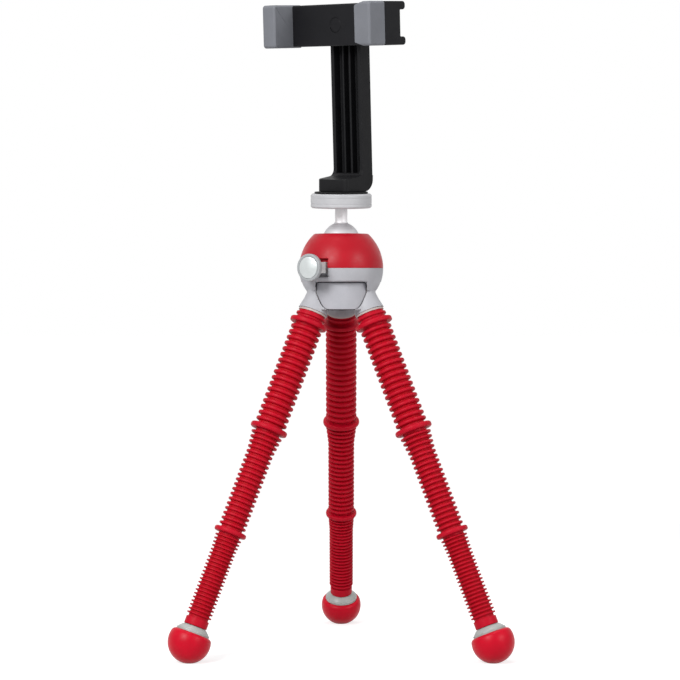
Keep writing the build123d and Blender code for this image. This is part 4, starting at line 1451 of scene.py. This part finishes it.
@dataclass
class LockKnob:
    """Grey knob with its bright domed cap, built along the knob's axis."""

    place: Matrix
    finishes: Finishes
    bore: float = 1.7
    back: float = -4.7
    hub_radius: float = 5.1
    disc_height: float = 2.4
    radius: float = 6.6
    cap_radius: float = 5.2
    cap_gap: float = 0.1
    cap_seat: float = -1.0
    crown: float = 0.7
    crown_steps: int = 14

    def build_drum(self) -> None:
        """Make the knob's body: hub, disc and the rim round the cap."""
        under = -self.disc_height
        recess = self.cap_radius + self.cap_gap
        shape = [(self.bore, self.back, 0), (self.hub_radius, self.back, 0.35), (self.hub_radius, under, 0.5)]
        shape += [(self.radius, under, 0.5), (self.radius, 0.0, 0.55), (recess, 0.0, 0.12)]
        shape += [(recess, self.cap_seat, 0), (self.bore, self.cap_seat, 0)]
        piece = finish_mesh("knob_drum", lathe(rounded(shape, 5), 112), self.place, self.finishes.knob, 40)
        seat(piece, "knob", "lock_knob")

    def build_cap(self) -> None:
        """Make the bright, slightly domed cap."""
        shares = [1 - step / self.crown_steps for step in range(1, self.crown_steps + 1)]
        face = [(self.cap_radius * share, self.crown * (1 - share**2)) for share in shares]
        rim = [(self.cap_radius, -0.2), (self.cap_radius - 0.06, -0.02)]
        outline = [(0.0, self.cap_seat), (self.cap_radius, self.cap_seat), *rim, *face]
        piece = finish_mesh("knob_bright_cap", lathe(outline, 96), self.place, self.finishes.face, 50)
        seat(piece, "knob", "knob_cap")

    def build(self) -> None:
        """Make and dress the knob and its lock."""
        self.build_drum()
        self.build_cap()
        paint(["lock_screw"], self.finishes.steel)
        paint(["lock_plunger"], self.finishes.bush)


@dataclass
class PhoneMount:
    """The arm and the spring clamp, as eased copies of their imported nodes."""

    place: Matrix
    finishes: Finishes
    arm_ease: float = 0.3
    bar_ease: float = 0.35
    jaw_ease: float = 0.3
    flute_half: float = 7.65
    flute_front: float = -3.5
    flute_floor: float = 0.9
    flute_start: float = 9.0
    flute_end: float = 71.6
    rib_middles: tuple[float, float] = (-2.5, 1.9)
    rib_thickness: float = 1.0
    rib_front: float = -2.7
    pivot_height: float = 81.0
    fill_margin: float = 0.3
    fill_start: float = 11.7
    fill_end: float = 68.3
    grip_inside: float = 23.7
    grip_across: float = 5.6
    grip_down: float = 1.9
    grip_start: float = 2.0
    grip_end: float = 25.0
    jaw_height: float = 21.0
    overrun: float = 1.0

    def carve_grip(self, made: bpy.types.Object) -> None:
        """Bevel the fixed jaw's two long corners on the gripping side.

        Args:
            made: The fixed jaw's copy, changed here.
        """
        upright = Matrix.Rotation(radians(90), 4, "X")
        pivot = self.place @ Matrix.Translation((0, 0, self.pivot_height * MM)) @ upright
        inside, tall = self.grip_inside, self.jaw_height / 2
        before, beyond = inside - self.overrun, inside + self.grip_across
        for side in (-1, 1):
            low, high = side * (tall - self.grip_down), side * (tall + self.overrun)
            wedge = [(before, low), (inside, low), (beyond, side * tall), (beyond, high), (before, high)]
            combine(made, prism(wedge, self.grip_start, self.grip_end, pivot), "DIFFERENCE")

    def carve_flutes(self, made: bpy.types.Object) -> None:
        """Cut the three flutes in full length, with the two thin ribs between them.

        Args:
            made: The arm's copy, changed here.
        """
        half, floor = self.flute_half, self.flute_floor
        wide, front, back = half + self.fill_margin, self.flute_front + 0.1, floor + self.fill_margin
        fill = [(-wide, front), (wide, front), (wide, back), (-wide, back)]
        combine(made, prism(fill, self.fill_start, self.fill_end, self.place), "UNION")
        clear = self.flute_front - 3 * self.overrun
        comb = [(-half, clear), (half, clear), (half, floor)]
        for middle in reversed(self.rib_middles):
            low, high = middle - self.rib_thickness / 2, middle + self.rib_thickness / 2
            comb += [(high, floor), (high, self.rib_front), (low, self.rib_front), (low, floor)]
        comb.append((-half, floor))
        combine(made, prism(comb, self.flute_start, self.flute_end, self.place), "DIFFERENCE")

    def build(self) -> None:
        """Make and dress the arm and the clamp."""
        looks = self.finishes
        dress("phone_arm", "fluted_arm", "phone_mount", looks.arm, self.arm_ease, self.carve_flutes)
        dress("clamp_body", "clamp_bar_and_end", "clamp", looks.bar, self.bar_ease)
        dress("clamp_cover", "clamp_front_plate", "clamp", looks.bar, 0.0)
        dress("pivot_cap", "pivot_cover", "clamp", looks.bar, 0.15)
        dress("fixed_jaw_pad", "fixed_jaw_boot", "clamp", looks.jaw, self.jaw_ease, self.carve_grip)
        dress("moving_jaw_pad", "moving_jaw_boot", "moving_jaw", looks.jaw, self.jaw_ease)
        paint(["jaw_slider"], looks.bar)
        paint(["arm_insert"], looks.brass)
        paint(["pivot_nut", "pivot_screw", "jaw_springs"], looks.steel)


# Studio

@dataclass(frozen=True)
class SoftLamp:
    """A square soft lamp."""

    name: str
    place: tuple[float, float, float]
    aim: tuple[float, float, float]
    size: float
    power: float

    def build(self) -> None:
        """Hang the lamp."""
        data = bpy.data.lights.new(self.name, "AREA")
        data.shape = "SQUARE"
        data.size = self.size
        data.energy = self.power
        lamp = bpy.data.objects.new(self.name, data)
        bpy.context.scene.collection.objects.link(lamp)
        lamp.location = self.place
        lamp.rotation_mode = "QUATERNION"
        lamp.rotation_quaternion = (Vector(self.aim) - Vector(self.place)).to_track_quat("-Z", "Y")


@dataclass
class Studio:
    """Pale floor, white surroundings, soft lamps and the camera of the photograph."""

    picture: int = 680
    focal_pixels: float = 2298.0
    horizon_row: float = 279.0
    axis_column: float = 341.2
    distance: float = 1141.6
    height: float = 180.2
    sensor: float = 36.0
    ambient: float = 0.26
    floor_glow: float = 0.72
    floor_colour: float = 0.5
    floor_bounce: float = 0.6
    floor_white: float = 1.02
    floor_near: float = 0.3
    floor_far: float = 0.62
    floor_size: float = 12.0

    def floor_material(self) -> bpy.types.Material:
        """A floor that shows white to the camera but keeps the object's shadow."""
        bench = Bench(bpy.data.materials.new("pale_floor"))
        plain, shown = [
            bench.add("ShaderNodeBsdfDiffuse", {}, {"Color": (grey, grey, grey, 1)})
            for grey in (self.floor_bounce, self.floor_colour)
        ]
        glow, white = [
            bench.add("ShaderNodeEmission", {}, {"Strength": power})
            for power in (self.floor_glow, self.floor_white)
        ]
        near = bench.add("ShaderNodeAddShader", {}, [shown, glow])
        away = bench.add("ShaderNodeVectorMath", {"operation": "LENGTH"}, [bench.place()], "Value")
        fade = bench.spread(away, self.floor_near, self.floor_far, 0.0, 1.0, True)
        faded = bench.add("ShaderNodeMixShader", {}, [fade, near, white])
        return bench.end(bench.add("ShaderNodeMixShader", {}, [bench.seen(), plain, faded]))

    def build_floor(self) -> None:
        """Lay the floor."""
        built = bmesh.new()
        bmesh.ops.create_grid(built, x_segments=1, y_segments=1, size=self.floor_size / 2)
        mesh = plain_mesh("studio_floor", built)
        mesh.materials.append(self.floor_material())
        add_object("studio_floor", mesh)

    def build_world(self) -> None:
        """White surroundings to the camera and in reflections, and a plain level of light."""
        bench = Bench(bpy.data.worlds.new("white_room"))
        level = bench.spread(bench.seen(), 0.0, 1.0, self.ambient, 1.0)
        sky = bench.add("ShaderNodeBackground", {}, {"Color": (1, 1, 1, 1), "Strength": level})
        bpy.context.scene.world = bench.end(sky, "ShaderNodeOutputWorld")

    def build_camera(self) -> None:
        """Place the photograph's camera."""
        data = bpy.data.cameras.new("camera")
        data.sensor_width = self.sensor
        data.lens = self.sensor * self.focal_pixels / self.picture
        data.shift_x = -(self.axis_column - self.picture / 2) / self.picture
        data.shift_y = -(self.picture / 2 - self.horizon_row) / self.picture
        data.clip_start = 0.05
        data.clip_end = 50
        camera = bpy.data.objects.new("camera", data)
        bpy.context.scene.collection.objects.link(camera)
        camera.location = (0, -self.distance * MM, self.height * MM)
        camera.rotation_euler = (radians(90), 0, 0)
        bpy.context.scene.camera = camera

    def build(self) -> None:
        """Set up the studio."""
        scene = bpy.context.scene
        scene.view_settings.view_transform = "Standard"
        self.build_floor()
        self.build_world()
        middle = (0.0, 0.0, 0.16)
        lamps = [
            SoftLamp("key", (-0.62, -0.98, 0.80), middle, 0.5, 13.5),
            SoftLamp("fill", (0.85, -0.80, 0.55), middle, 0.5, 5.0),
            SoftLamp("top", (0.0, 0.05, 1.35), middle, 0.6, 4.5),
        ]
        for lamp in lamps:
            lamp.build()
        self.build_camera()


# Places of the arm and the housing against the ball, in millimetres and degrees

ARM_TURN = -43.0
ARM_LEAN = 2.1
ARM_BACK = 8.8
ARM_BOTTOM = 24.1
HOUSING_BELOW_BALL = 12.8


def main() -> None:
    """Build every class in order."""
    logging.basicConfig(level=logging.INFO, format="%(name)s: %(message)s")
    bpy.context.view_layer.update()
    tilt = joint("head_tilt")
    swivel = joint("mount_swivel")
    turn = joint("knob_turn")
    up = Vector(swivel["axis"])
    head = frame_matrix(Vector(tilt["pos_m"]), Vector((1, 0, 0)), up)
    knob = frame_matrix(Vector(turn["pos_m"]), Vector((0, 0, 1)), Vector(turn["axis"]))
    finishes = Finishes(head, knob)
    ribs = RibTree()
    makers = [Leg(name, finishes, ribs) for name in ("rear", "left", "right")]
    stand = Matrix.Translation((0, ARM_BACK * MM, ARM_BOTTOM * MM))
    plate = head @ Matrix.Rotation(radians(ARM_TURN), 4, "Z") @ stand
    plate = plate @ Matrix.Rotation(radians(ARM_LEAN), 4, "X")
    middle = Matrix.Translation(Vector(tilt["pos_m"]) - Vector((0, 0, HOUSING_BELOW_BALL * MM)))
    makers += [BallHead(head, finishes), Housing(middle, finishes), LockKnob(knob, finishes)]
    makers += [PhoneMount(plate, finishes), Studio()]
    for maker in makers:
        maker.build()
        log.info("built %s %s", type(maker).__name__, getattr(maker, "name", ""))


if __name__ == "__main__":
    main()
